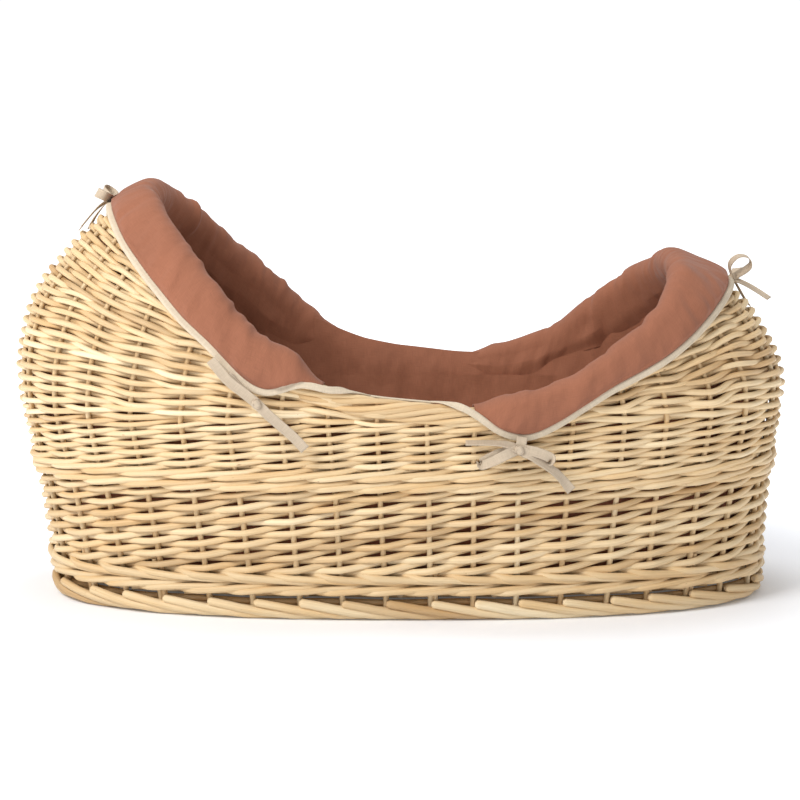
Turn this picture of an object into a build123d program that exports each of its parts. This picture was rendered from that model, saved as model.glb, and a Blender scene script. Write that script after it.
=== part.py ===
"""A wicker pod cradle: a woven willow basket with a hooded head end and foot end, a padded cotton liner
that folds over the rim, cotton ties and a mattress.

Frame, millimetres: X along the cradle (head end at -X, foot end at +X), Y across, Z up, with the origin
on the floor under the middle. Every wall follows one pod surface, the middle of the woven wall.
"""
from build123d import *
import os
from math import copysign, cos, hypot, pi, sin

# ---------------------------------------------------------------- driving dimensions
# Middle of the woven wall as (height, position) points: the two ends along X and the half width in Y
HEAD_PROFILE = [(0, -380), (120, -397), (250, -419), (320, -406), (386, -358), (428, -305), (450, -245),
                (462, -180)]
FOOT_PROFILE = [(0, 399), (120, 407), (240, 421), (302, 394), (346, 350), (366, 300), (410, 180), (462, 90)]
SIDE_PROFILE = [(0, 164), (120, 180), (250, 198), (320, 186), (386, 145), (428, 100), (462, 35)]
POD_CENTRE_X = 10            # middle of the pod's length, where the base sticks and the mattress lie
OUTLINE_POWER = 2.5          # superellipse power of every level outline
SECTION_POWER = 1.45         # how much closer the loft sections get towards the top

# Side-view lines (x, z): top of the wicker rim, and the lower edges of the two folded-over cuffs
RIM_LINE = [(-345, 515), (-300, 458), (-268, 420), (-205, 343), (-124, 276), (-40, 245), (40, 236), (100, 231),
            (160, 240), (220, 271), (280, 318), (318, 362), (345, 405)]
HEAD_CUFF_LINE = [(-365, 490), (-323, 430), (-290, 383), (-244, 332), (-193, 286), (-151, 255), (-134, 250),
                  (-112, 256), (-78, 264)]
FOOT_CUFF_LINE = [(76, 232), (104, 209), (130, 202), (160, 211), (222, 246), (278, 276), (334, 322), (368, 351),
                  (420, 400)]
HEAD_CUFF_END = -78          # x where the head cuff stops
FOOT_CUFF_END = 76           # x where the foot cuff stops

# Heights of the woven bands
FOOT_BORDER_TOP = 22
WALE_BOTTOM = 31             # the stakes show between the foot border and this wale
WALE_TOP = 51
MIDDLE_WALE_BOTTOM = 142
MIDDLE_WALE_TOP = 167
WALL_TOP = 215               # the hoods' fanned rows start here
RIM_HEIGHT = 24              # rolled rim border, measured down from the rim line
CUFF_LOW = 160               # below the lowest edge of the cuffs and of the rim border

# Offsets from the middle of the wall, outwards positive
WEAVE = 6.5                  # half thickness of a woven band
WALE = 8.0                   # half thickness of a wale and of the rim border
FOOT_BORDER = 10.0
STAKE_DIAMETER = 6.0
STAKE_COUNT = 40
BASE_EDGE = -6.0             # outline of the woven base, inside the stakes

# Heights of the loft sections: each stack ends where its shell still has room under the pod's top
HOOD_TOP = 460
CUFF_TOP = 474
RIM_TOP = 462
LINING_TOP = 440
WALL_SECTIONS = 7
HOOD_SECTIONS = 14
CUFF_SECTIONS = 15
LOWER_WALL_MIDDLE = 96
UPPER_WALL_MIDDLE = 190
CRUMB = 50                   # volume under which a cut-off piece is dropped

# Base sticks
CROSS_STICK_DIAMETER = 8.0
LONG_STICK_DIAMETER = 5.0
CROSS_STICK_XS = [-300, -200, -100, 0, 100, 200, 300]
LONG_STICK_YS = [-90, -45, 0, 45, 90]
LONG_STICK_HALF = 345
CROSS_STICK_REACH = 0.8      # share of the base's half width that the longest cross stick covers

# Liner
LINER_OUTSIDE = -9.0
LINER_INSIDE = -20.0
CUFF_INSIDE = 9.0
CUFF_OUTSIDE = 21.0
CUFF_RISE = 14               # thickness of the padding that rolls over the rim
LINER_FLOOR = 3.5
LINER_SEAM = 60              # x of the seam between the linings of the two hoods
BINDING_WIDTH = 7
BINDING_OUTSIDE = 15.0
SIDE_BINDING_RISE = 4
SIDE_SECTIONS = 7            # loft sections that reach past the low sides of the mouth

# Mattress
MATTRESS_LENGTH = 708
MATTRESS_WIDTH = 286
MATTRESS_BOTTOM = 36
MATTRESS_THICKNESS = 40
COVER_THICKNESS = 1.5

# Tie tapes
TAPE_WIDTH = 10
TAPE_THICKNESS = 2
KNOT = (13, 11, 7)

FAR = 700                    # beyond the cradle in every direction
PAST_END = 12                # how far a cut goes past the end of its line


# ---------------------------------------------------------------- the pod surface
def slopes(points):
    """Slopes at the points of a curve that never overshoots them."""
    steps = [(b - a) / (v - u) for (u, a), (v, b) in zip(points, points[1:])]
    inner = [0 if s * t <= 0 else 2 * s * t / (s + t) for s, t in zip(steps, steps[1:])]
    return [steps[0]] + inner + [steps[-1]]


def smooth(points, u):
    """Value at u of the smooth curve through the (u, value) points."""
    ms = slopes(points)
    i = max([k for k in range(len(points) - 1) if points[k][0] <= u], default=0)
    (u0, a), (u1, b) = points[i], points[i + 1]
    h = u1 - u0
    t = (u - u0) / h
    if t < 0:
        return a + ms[i] * (u - u0)
    if t > 1:
        return b + ms[i + 1] * (u - u1)
    return (a * (2 * t**3 - 3 * t**2 + 1) + b * (3 * t**2 - 2 * t**3)
            + h * ms[i] * (t**3 - 2 * t**2 + t) + h * ms[i + 1] * (t**3 - t**2))


def offset_profile(profile, offset, outwards):
    """The profile moved square to itself, as new (height, position) points."""
    moved = []
    for (z, x), slope in zip(profile, slopes(profile)):
        length = hypot(1, slope)
        moved.append((z - outwards * offset * slope / length, x + outwards * offset / length))
    return moved


def pod_outline(z, offset):
    """Ends and half width of the offset pod at height z."""
    head = smooth(offset_profile(HEAD_PROFILE, offset, -1), z)
    foot = smooth(offset_profile(FOOT_PROFILE, offset, 1), z)
    side = smooth(offset_profile(SIDE_PROFILE, offset, 1), z)
    return head, foot, side


def on_outline(outline, z, angle):
    """Point of a level superellipse outline at a turn of angle from +X."""
    head, foot, side = outline
    power = 2 / OUTLINE_POWER
    x = (head + foot) / 2 + (foot - head) / 2 * copysign(abs(cos(angle)) ** power, cos(angle))
    y = side * copysign(abs(sin(angle)) ** power, sin(angle))
    return Vector(x, y, z)


def outline_wire(outline, z, points=9):
    """Level outline as four quarter curves that meet square to the axes."""
    tangents = [(0, 1, 0), (-1, 0, 0), (0, -1, 0), (1, 0, 0)]
    quarters = []
    for q in range(4):
        angles = [pi / 2 * (q + i / (points - 1)) for i in range(points)]
        quarters.append(Spline(*[on_outline(outline, z, a) for a in angles],
                               tangents=[tangents[q], tangents[(q + 1) % 4]]))
    return Wire(quarters)


def levels(low, high, count):
    """Heights of the loft sections, closer together towards the top, where the hoods flatten."""
    return [low + (high - low) * (1 - (1 - i / count) ** SECTION_POWER) for i in range(count + 1)]


def pod(offset, heights):
    """Solid bounded by the offset pod between the first and last height."""
    return Solid.make_loft([outline_wire(pod_outline(z, offset), z) for z in heights])


def shell(inside, outside, heights):
    """Closed wall between two offsets of the pod."""
    return pod(outside, heights) - pod(inside, heights)


# ---------------------------------------------------------------- side-view cuts
def side_line(points, shift=0):
    """Smooth side-view line, moved square to itself towards the opening."""
    line = Spline(*[(x, z) for x, z in points])
    if not shift:
        return line
    moved = []
    for i in range(len(points) * 2 - 1):
        at = i / (len(points) * 2 - 2)
        tangent = line % at
        moved.append(line @ at + Vector(-tangent.Y, tangent.X) * shift)
    return Spline(*moved)


def side_cutter(edges):
    """The closed side-view area, carried right across the cradle."""
    return extrude(Plane.XZ * make_face(edges), FAR / 2, both=True)


def corner_lines(*points):
    """Straight lines from point to point, leaving out a point that repeats the last one."""
    return [Line(a, b) for a, b in zip(points, points[1:]) if (Vector(a) - Vector(b)).length > 0.01]


def above(line):
    """Everything above a side-view line that runs from head to foot, and a little past both its ends."""
    start, end = line @ 0, line @ 1
    return side_cutter([line] + corner_lines(end, (end.X + PAST_END, end.Y), (end.X + PAST_END, FAR),
                                             (start.X - PAST_END, FAR), (start.X - PAST_END, start.Y), start))


def below(line):
    """Everything below a side-view line that runs from head to foot, and past both its ends."""
    start, end = line @ 0, line @ 1
    return side_cutter([line] + corner_lines(end, (FAR, end.Y), (FAR, -FAR), (-FAR, -FAR), (-FAR, start.Y),
                                             start))


def outside_head_cuff(line):
    """Everything below the head cuff's edge line or on the foot side of its end."""
    start, end = line @ 0, line @ 1
    return side_cutter([line] + corner_lines(end, (HEAD_CUFF_END, end.Y), (HEAD_CUFF_END, FAR),
                                             (FAR, FAR), (FAR, -FAR), (-FAR, -FAR), (-FAR, start.Y), start))


def outside_foot_cuff(line):
    """Everything below the foot cuff's edge line or on the head side of its end."""
    start, end = line @ 0, line @ 1
    return side_cutter([line] + corner_lines(end, (FAR, end.Y), (FAR, -FAR), (-FAR, -FAR), (-FAR, FAR),
                                             (FOOT_CUFF_END, FAR), (FOOT_CUFF_END, start.Y),
                                             start))


def solids_of(shape):
    """The solids of a cut, largest first, without crumbs."""
    found = sorted(shape.solids(), key=lambda s: -s.volume)
    return [s for s in found if s.volume > CRUMB]


# ---------------------------------------------------------------- woven basket
def woven_base():
    """Oval base: long sticks through split cross sticks, with the weave around both."""
    middle = (FOOT_BORDER_TOP + WALE_BOTTOM) / 2
    outline = pod_outline(WALE_BOTTOM, BASE_EDGE)
    weave = extrude(make_face(outline_wire(outline, FOOT_BORDER_TOP)), WALE_BOTTOM - FOOT_BORDER_TOP)
    long_sticks = [Pos(POD_CENTRE_X, y, middle) * Rot(0, 90, 0)
                   * Cylinder(LONG_STICK_DIAMETER / 2, 2 * LONG_STICK_HALF) for y in LONG_STICK_YS]
    cross_sticks = []
    for x in CROSS_STICK_XS:
        half = CROSS_STICK_REACH * outline[2] * (1 - abs((x - POD_CENTRE_X) / FOOT_PROFILE[0][1]) ** 2) ** 0.5
        stick = Pos(x, 0, middle) * Rot(90, 0, 0) * Cylinder(CROSS_STICK_DIAMETER / 2, 2 * half)
        cross_sticks.append(stick)
    for stick in long_sticks + cross_sticks:
        weave -= stick
    split = []
    for stick in cross_sticks:
        for rod in long_sticks:
            stick -= rod
        split.append(stick)
    return weave, long_sticks, split


def evenly_round(outline, z, count, steps=720):
    """Points the same distance apart along a level outline, with none on its long axis."""
    points = [on_outline(outline, z, 2 * pi * i / steps) for i in range(steps + 1)]
    lengths = [0.0]
    for a, b in zip(points, points[1:]):
        lengths.append(lengths[-1] + (b - a).length)
    places, at = [], 0
    for i in range(count):
        target = lengths[-1] * (i + 0.5) / count
        while lengths[at + 1] < target:
            at += 1
        share = (target - lengths[at]) / (lengths[at + 1] - lengths[at])
        places.append(points[at] + (points[at + 1] - points[at]) * share)
    return places


def foot_stakes():
    """The stretch of every side stake that shows between the foot border and the first wale."""
    height = WALE_BOTTOM - FOOT_BORDER_TOP
    middle = FOOT_BORDER_TOP + height / 2
    outline = pod_outline(middle, 0)
    return [Pos(foot) * Cylinder(STAKE_DIAMETER / 2, height)
            for foot in evenly_round(outline, middle, STAKE_COUNT)]


def woven_walls():
    """Level bands of the wall, the two hoods above them and the rolled rim border."""
    rim = side_line(RIM_LINE)
    rim_bottom = side_line(RIM_LINE, -RIM_HEIGHT)
    hood_heights = levels(WALL_TOP, HOOD_TOP, HOOD_SECTIONS)
    rim_heights = levels(CUFF_LOW, RIM_TOP, CUFF_SECTIONS)
    hoods = solids_of(shell(-WEAVE, WEAVE, hood_heights) - above(rim_bottom))
    head_hood = [s for s in hoods if s.center().X < 0]
    foot_hood = [s for s in hoods if s.center().X > 0]
    border = shell(-WALE, WALE, rim_heights) - above(rim) - below(rim_bottom)
    return {
        "foot_border": [shell(-FOOT_BORDER, FOOT_BORDER, [0, FOOT_BORDER_TOP])],
        "foot_wale": [shell(-WALE, WALE, [WALE_BOTTOM, WALE_TOP])],
        "lower_wall_weave": [shell(-WEAVE, WEAVE, [WALE_TOP, LOWER_WALL_MIDDLE, MIDDLE_WALE_BOTTOM])],
        "middle_wale": [shell(-WALE, WALE, [MIDDLE_WALE_BOTTOM, MIDDLE_WALE_TOP])],
        "upper_wall_weave": solids_of(shell(-WEAVE, WEAVE, [MIDDLE_WALE_TOP, UPPER_WALL_MIDDLE, WALL_TOP])
                                      - above(rim_bottom)),
        "head_hood_weave": head_hood[:1],
        "foot_hood_weave": foot_hood[:1],
        "rim_border": solids_of(border)[:1],
    }


# ---------------------------------------------------------------- padded liner
def liner():
    """Wall and floor pads, the cuffs that fold over the rim, and the bindings along the edges."""
    rim = side_line(RIM_LINE)
    crest = side_line(RIM_LINE, CUFF_RISE)
    floor_top = WALE_BOTTOM + LINER_FLOOR
    wall_step = (WALL_TOP - floor_top) / WALL_SECTIONS
    wall_heights = [floor_top + wall_step * i for i in range(WALL_SECTIONS + 1)]
    hood_heights = levels(WALL_TOP, LINING_TOP, HOOD_SECTIONS)
    outer_heights = levels(CUFF_LOW, CUFF_TOP, CUFF_SECTIONS)
    inner_heights = levels(CUFF_LOW, LINING_TOP, HOOD_SECTIONS)
    wall = shell(LINER_INSIDE, LINER_OUTSIDE, wall_heights) - above(rim)
    hoods = shell(LINER_INSIDE, LINER_OUTSIDE, hood_heights) - above(rim)
    head_hood = hoods - Pos(LINER_SEAM + FAR, 0, 0) * Box(2 * FAR, FAR, 2 * FAR)
    foot_hood = hoods - Pos(LINER_SEAM - FAR, 0, 0) * Box(2 * FAR, FAR, 2 * FAR)
    floor = extrude(make_face(outline_wire(pod_outline(floor_top, LINER_OUTSIDE), WALE_BOTTOM)), LINER_FLOOR)

    padding = pod(CUFF_OUTSIDE, outer_heights) - pod(LINER_INSIDE, inner_heights) - above(crest)
    padding -= pod(CUFF_INSIDE, outer_heights) - above(rim)
    head_edge = side_line(HEAD_CUFF_LINE)
    foot_edge = side_line(FOOT_CUFF_LINE)
    head_cuff = padding - outside_head_cuff(head_edge)
    foot_cuff = padding - outside_foot_cuff(foot_edge)

    tape = pod(BINDING_OUTSIDE, outer_heights) - pod(CUFF_INSIDE, outer_heights)
    head_low = side_line(HEAD_CUFF_LINE, -BINDING_WIDTH)
    foot_low = side_line(FOOT_CUFF_LINE, -BINDING_WIDTH)
    head_binding = tape - above(head_edge) - outside_head_cuff(head_low)
    foot_binding = tape - above(foot_edge) - outside_foot_cuff(foot_low)

    bare = Pos((HEAD_CUFF_END + FOOT_CUFF_END) / 2, 0, 0) * Box(FOOT_CUFF_END - HEAD_CUFF_END - 1, FAR, FAR)
    edging = shell(LINER_INSIDE + 1, LINER_OUTSIDE - 1, inner_heights[:SIDE_SECTIONS])
    side_binding = (edging & bare) - below(rim) - above(side_line(RIM_LINE, SIDE_BINDING_RISE))
    return {
        "liner_floor": [floor],
        "liner_wall": solids_of(wall)[:1],
        "head_hood_lining": solids_of(head_hood)[:1],
        "foot_hood_lining": solids_of(foot_hood)[:1],
        "head_cuff": solids_of(head_cuff)[:1],
        "foot_cuff": solids_of(foot_cuff)[:1],
        "head_binding": solids_of(head_binding),
        "foot_binding": solids_of(foot_binding),
        "side_binding": solids_of(side_binding),
    }


# ---------------------------------------------------------------- tie tapes
def tape_run(start, end, facing):
    """Flat straight run of tape between two points, with its broad side facing one way."""
    start, end = Vector(*start), Vector(*end)
    run = end - start
    across = run.cross(Vector(*facing))
    normal = across.cross(run)
    place = Plane(origin=(start + end) * 0.5, x_dir=run, z_dir=normal)
    return place * Box(run.length, TAPE_WIDTH, TAPE_THICKNESS)


def tie(knot, ends, facing):
    """Knot with runs of tape out to the given ends."""
    knot_plane = Plane(origin=knot, x_dir=Vector(*facing).cross(Vector(0.1, 0, 1)), z_dir=facing)
    body = knot_plane * Box(*KNOT)
    for end in ends:
        body += tape_run(knot, end, facing)
    return body


def ties():
    """Six bows: one on each hood and two on each long side."""
    front_head = dict(knot=(-146, -215, 236), facing=(0, -1, -0.05),
                      ends=[(-97, -217, 186), (-188, -212, 268), (-170, -217, 196)])
    front_foot = dict(knot=(122, -215, 190), facing=(0, -1, -0.05),
                      ends=[(67, -217, 193), (84, -217, 176), (160, -213, 188), (178, -213, 150)])
    made = {
        "front_head_tie": tie(**front_head),
        "front_foot_tie": tie(**front_foot),
        "head_tie": tie(knot=(-340, 0, 437), facing=(-0.75, 0, 0.66),
                        ends=[(-364, 34, 412), (-362, -38, 416), (-330, 26, 449), (-330, -26, 449)]),
        "foot_tie": tie(knot=(379, 0, 357), facing=(0.75, 0, 0.66),
                        ends=[(403, 26, 330), (404, -32, 326), (372, 30, 366), (372, -30, 366)]),
    }
    for name in ("head", "foot"):
        made[f"back_{name}_tie"] = mirror(made[f"front_{name}_tie"], Plane.XZ)
    return {name: body.solids() for name, body in made.items()}


# ---------------------------------------------------------------- mattress
def slab(inset):
    """Mattress block drawn in by the inset all round."""
    outline = (POD_CENTRE_X - MATTRESS_LENGTH / 2 + inset,
               POD_CENTRE_X + MATTRESS_LENGTH / 2 - inset, MATTRESS_WIDTH / 2 - inset)
    base = make_face(outline_wire(outline, MATTRESS_BOTTOM + inset))
    return extrude(base, MATTRESS_THICKNESS - 2 * inset)


def mattress():
    """Foam core inside a sewn cover."""
    core = slab(COVER_THICKNESS)
    return {"mattress_core": [core], "mattress_cover": [slab(0) - core]}


# ---------------------------------------------------------------- assembly
def build():
    weave, long_sticks, cross_sticks = woven_base()
    nodes = {"base_weave": [weave], "base_long_sticks": long_sticks, "base_cross_sticks": cross_sticks,
             "side_stakes": foot_stakes()}
    nodes.update(woven_walls())
    nodes.update(liner())
    nodes.update(ties())
    nodes.update(mattress())
    os.makedirs("parts", exist_ok=True)
    for name, pieces in nodes.items():
        solids = [s for piece in pieces for s in piece.solids()]
        shape = solids[0] if len(solids) == 1 else Compound(children=solids)
        export_step(shape, f"parts/{name}.step")
    return nodes


if __name__ == "__main__":
    build()
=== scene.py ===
"""Looks of the wicker pod cradle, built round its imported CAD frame.

Metres, in the CAD's frame: X along the cradle with the tall head hood at -X, Y across, Z up, and the origin
on the floor under the middle. Every willow rod and every sewn piece follows the same pod surface as the CAD.
"""

import bpy
import numpy as np
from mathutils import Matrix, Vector


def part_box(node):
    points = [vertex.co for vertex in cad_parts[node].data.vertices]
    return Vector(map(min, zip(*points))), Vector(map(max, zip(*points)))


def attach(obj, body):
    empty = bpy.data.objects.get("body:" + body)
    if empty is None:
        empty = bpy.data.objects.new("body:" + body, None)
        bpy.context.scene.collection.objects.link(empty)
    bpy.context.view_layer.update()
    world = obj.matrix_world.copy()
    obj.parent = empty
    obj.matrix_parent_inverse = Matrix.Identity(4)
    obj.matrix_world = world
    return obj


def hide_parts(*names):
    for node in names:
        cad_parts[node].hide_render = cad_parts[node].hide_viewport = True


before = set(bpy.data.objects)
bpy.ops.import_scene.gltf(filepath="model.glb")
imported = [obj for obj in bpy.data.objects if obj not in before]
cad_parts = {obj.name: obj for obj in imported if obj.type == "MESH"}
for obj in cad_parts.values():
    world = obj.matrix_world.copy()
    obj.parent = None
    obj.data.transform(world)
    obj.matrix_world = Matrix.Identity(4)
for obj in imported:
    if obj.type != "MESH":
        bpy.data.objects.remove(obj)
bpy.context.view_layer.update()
MM = 0.001
UP = np.array([0, 0, 1.0])

# ---------------------------------------------------------------- the pod surface, as in the CAD
# Profiles are (z, x or y) points and lines are (x, z) points, all in millimetres
HEAD_PROFILE = [(0, -380), (120, -397), (250, -419), (320, -406), (386, -358), (428, -305), (450, -245),
                (462, -180)]
FOOT_PROFILE = [(0, 399), (120, 407), (240, 421), (302, 394), (346, 350), (366, 300), (410, 180),
                (462, 90)]
SIDE_PROFILE = [(0, 164), (120, 180), (250, 198), (320, 186), (386, 145), (428, 100), (462, 35)]
OUTLINE_POWER = 2.5
POD_TOP = 0.462
RIM_LINE = [(-345, 515), (-300, 458), (-268, 420), (-205, 343), (-124, 276), (-40, 245), (40, 236),
            (100, 231), (160, 240), (220, 271), (280, 318), (318, 362), (345, 405)]
HEAD_CUFF_LINE = [(-365, 490), (-323, 430), (-290, 383), (-244, 332), (-193, 286), (-151, 255), (-134, 250),
                  (-112, 256), (-78, 264)]
FOOT_CUFF_LINE = [(76, 232), (104, 209), (130, 202), (160, 211), (222, 246), (278, 276), (334, 322),
                  (368, 351), (420, 400)]
RIM_HEIGHT = 0.024

# Band heights, read from the CAD nodes
WALE_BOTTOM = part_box("foot_wale")[0].z
WALE_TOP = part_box("foot_wale")[1].z
MIDDLE_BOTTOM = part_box("middle_wale")[0].z
MIDDLE_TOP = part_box("middle_wale")[1].z
WALL_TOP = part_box("head_hood_weave")[0].z
FLOOR_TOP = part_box("liner_floor")[1].z

STAKES = 40
STAKE_RADIUS = 0.0030
BY_STAKES = 13               # short stakes beside some of the others, at the foot
BY_STAKE_GAP = 0.118         # from a stake to the short one beside it, in stake spaces
PRESSED = 0.0009             # how far a weaver presses into the stake that it crosses
STAKE_SCATTER = 0.0020       # how unevenly the stakes stand, as a share of the way round
SPREAD = 0.16                # how much the stakes fan apart in the hoods
SPREAD_HEIGHT = 0.155
SAMPLES = 10                 # rings on a rod from one stake to the next
TUCK = 3                     # rings that a row's end runs on behind its last stake
SIDES = 8                    # of a rod's section
HOOD_SAMPLES = 106           # places along a hood's rows each way from the hood's own end
HOOD_STAKES = 9.4            # stakes each way that a hood's rows cover
GOLDEN = 0.6180339887        # spreads the rows that turn back evenly over the hood

rng = np.random.default_rng(7)


def slopes(x, y):
    """Slopes at the points of a curve that never overshoots them."""
    steps = np.diff(y) / np.diff(x)
    found = np.concatenate(([steps[0]], np.zeros(len(x) - 2), [steps[-1]]))
    for i in range(1, len(x) - 1):
        a, b = steps[i - 1], steps[i]
        found[i] = 0 if a * b <= 0 else 2 * a * b / (a + b)
    return found


def smooth(points, u):
    """Values at u of the smooth curve through the (u, value) points, which are in millimetres."""
    x, y = np.array(points, float).T * MM
    m = slopes(x, y)
    u = np.asarray(u, float)
    i = np.clip(np.searchsorted(x, u, side="right") - 1, 0, len(x) - 2)
    h = x[i + 1] - x[i]
    t = (u - x[i]) / h
    k = np.clip(t, 0, 1)
    value = (y[i] * (2 * k**3 - 3 * k**2 + 1) + y[i + 1] * (3 * k**2 - 2 * k**3)
             + h * m[i] * (k**3 - 2 * k**2 + k) + h * m[i + 1] * (k**3 - k**2))
    return value + np.where(t < 0, m[i] * h * t, 0) + np.where(t > 1, m[i + 1] * h * (t - 1), 0)


def smoothstep(t):
    """From 0 to 1 as t does, level at both ends."""
    t = np.clip(t, 0, 1)
    return t * t * (3 - 2 * t)


def unit(v):
    """Vectors of length one along v's."""
    return v / np.maximum(np.linalg.norm(v, axis=-1, keepdims=True), 1e-12)


def lengths(path):
    """Distances along a path of points, from its first one."""
    return np.concatenate(([0], np.cumsum(np.linalg.norm(np.diff(path, axis=0), axis=1))))


def turns(count):
    """Evenly spaced angles once round."""
    return np.linspace(0, 2 * np.pi, count, endpoint=False)


def circle(count):
    """Evenly spaced (cosine, sine) points of a unit circle."""
    turn = turns(count)
    return np.stack([np.cos(turn), np.sin(turn)], -1)


def oval(turn):
    """Points of a unit rounded oval, the shape of every level of the pod, at the given turns."""
    power = 2 / OUTLINE_POWER
    return np.stack([np.sign(part) * np.abs(part) ** power for part in (np.cos(turn), np.sin(turn))], -1)


def pod_level(z):
    """Centre, half length and half width of the level outline at height z."""
    head, foot, side = smooth(HEAD_PROFILE, z), smooth(FOOT_PROFILE, z), smooth(SIDE_PROFILE, z)
    return (head + foot) / 2, (foot - head) / 2, side


def half_width(x, z):
    """Distance from the middle plane to the wall's middle surface at x and z."""
    centre, half, side = pod_level(z)
    return side * (1 - np.abs((x - centre) / half) ** OUTLINE_POWER) ** (1 / OUTLINE_POWER)


class Pod:
    """Middle surface of the woven wall, by height and share of the way round (0 at the foot end)."""

    def __init__(self, levels=260, steps=800):
        self.heights = np.linspace(0, POD_TOP, levels)
        self.shares = np.linspace(0, 1, steps + 1)
        along, across = oval(np.linspace(0, 2 * np.pi, 2881)).T
        self.points = np.zeros((levels, steps + 1, 3))
        for k, z in enumerate(self.heights):
            centre, half, side = pod_level(z)
            x, y = centre + half * along, side * across
            length = np.concatenate(([0], np.cumsum(np.hypot(np.diff(x), np.diff(y)))))
            wanted = self.shares * length[-1]
            self.points[k, :, 0] = np.interp(wanted, length, x)
            self.points[k, :, 1] = np.interp(wanted, length, y)
            self.points[k, :, 2] = z
        up = np.gradient(self.points, axis=0)
        round_it = np.zeros_like(self.points)
        round_it[:, 1:-1] = self.points[:, 2:] - self.points[:, :-2]
        round_it[:, 0] = round_it[:, -1] = self.points[:, 1] - self.points[:, -2]
        self.normals = unit(np.cross(round_it, up))

    def at(self, share, z, offset=0.0):
        """Points at an offset from the surface, outwards positive, and the surface normals there."""
        share, z, offset = np.broadcast_arrays(np.asarray(share, float), np.asarray(z, float),
                                               np.asarray(offset, float))
        a = np.mod(share, 1.0) * (len(self.shares) - 1)
        b = np.clip(z / POD_TOP * (len(self.heights) - 1), 0, len(self.heights) - 1.001)
        i, j = np.minimum(a.astype(int), len(self.shares) - 2), b.astype(int)
        u, v = (a - i)[..., None], (b - j)[..., None]

        def mix(table):
            low = table[j, i] * (1 - u) + table[j, i + 1] * u
            high = table[j + 1, i] * (1 - u) + table[j + 1, i + 1] * u
            return low * (1 - v) + high * v

        normals = unit(mix(self.normals))
        return mix(self.points) + normals * offset[..., None], normals


POD = Pod()
SCATTER = rng.uniform(-STAKE_SCATTER, STAKE_SCATTER, STAKES)


def stake_share(s, z):
    """Share of the way round of stake number s, whole or between two stakes, at height z."""
    s = np.asarray(s, float)
    around = np.arange(-1, STAKES + 1)
    share = (s + 0.5) / STAKES + np.interp(np.mod(s, STAKES), around, SCATTER[around % STAKES])
    spread = SPREAD * np.clip((z - WALL_TOP) / SPREAD_HEIGHT, 0, 1.2)
    from_head = np.mod(share, 1.0) - 0.5
    from_foot = np.mod(share + 0.5, 1.0) - 0.5
    at_head = np.abs(from_head) < 0.25
    nearest = np.where(at_head, from_head, from_foot)
    moved = nearest * (1 + spread * (1 - (nearest / 0.25) ** 2))
    return np.where(at_head, 0.5 + moved, moved)


def on_wall(s, z, offset=0.0):
    """Points and normals on the wall at stake coordinate s and height z."""
    return POD.at(stake_share(s, z), z, offset)


def line_curve(points, shift=0.0, count=400):
    """Side-view (x, z) polyline through a line's points, moved square to itself towards the opening."""
    xs = np.linspace(points[0][0], points[-1][0], count) * MM
    line = np.stack([xs, smooth(points, xs)], -1)
    tangent = unit(np.gradient(line, axis=0))
    return line + np.stack([-tangent[:, 1], tangent[:, 0]], -1) * shift


def line_height(curve, x):
    """Height of a side-view line at x."""
    return np.interp(x, curve[:, 0], curve[:, 1])


RIM = line_curve(RIM_LINE)
RIM_LOW = line_curve(RIM_LINE, -RIM_HEIGHT)


def wall_end(s, curve):
    """Height at which the wall at stake coordinate s meets a side-view line."""
    z = np.linspace(0.15, POD_TOP - 0.002, 400)
    ends = []
    for one in np.atleast_1d(s):
        points, _ = on_wall(np.full(z.shape, one), z)
        over = np.nonzero(z > line_height(curve, points[:, 0]))[0]
        ends.append(z[over[0]] if len(over) else z[-1])
    return np.array(ends)


def steady(count, wander, knots):
    """Smooth seeded wander along a rod."""
    values = rng.normal(0, wander, max(knots, 2))
    return np.interp(np.linspace(0, 1, count), np.linspace(0, 1, len(values)), values)


# ---------------------------------------------------------------- camera, floor and light
CAMERA_PLACE = (0, -2.184, 0.525)
CAMERA_TARGET = (0, 0, 0.211)
CAMERA_LENS = 88
SENSOR_WIDTH = 36
SKY_LIGHT = 0.55
SKY_SEEN = 1.05              # strength of the white background that the camera sees
FLOOR_SIZE = 60
FLOOR_COLOUR = (0.91, 0.94, 1.0, 1)
GLOW_FROM, GLOW_TO = 0.42, 0.9          # distances between which the floor's glow rises
GLOW_NEAR, GLOW_FAR = 0.06, 0.8         # glow at those distances


def look_at(thing, target):
    """Turn a camera or a light to a target."""
    thing.rotation_euler = (Vector(target) - thing.location).to_track_quat("-Z", "Y").to_euler()


def make_camera():
    """Long lens a little above the cradle, square to its front."""
    camera = bpy.data.objects.new("camera", bpy.data.cameras.new("camera"))
    bpy.context.scene.collection.objects.link(camera)
    camera.location = CAMERA_PLACE
    look_at(camera, CAMERA_TARGET)
    camera.data.lens = CAMERA_LENS
    camera.data.sensor_width = SENSOR_WIDTH
    bpy.context.scene.camera = camera


def area_light(name, place, target, size, power, colour=(1, 1, 1)):
    """Round soft light that points at a target."""
    lamp = bpy.data.lights.new(name, "AREA")
    lamp.shape = "DISK"
    lamp.size = size
    lamp.energy = power
    lamp.color = colour
    light = bpy.data.objects.new(name, lamp)
    bpy.context.scene.collection.objects.link(light)
    light.location = place
    look_at(light, target)


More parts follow.
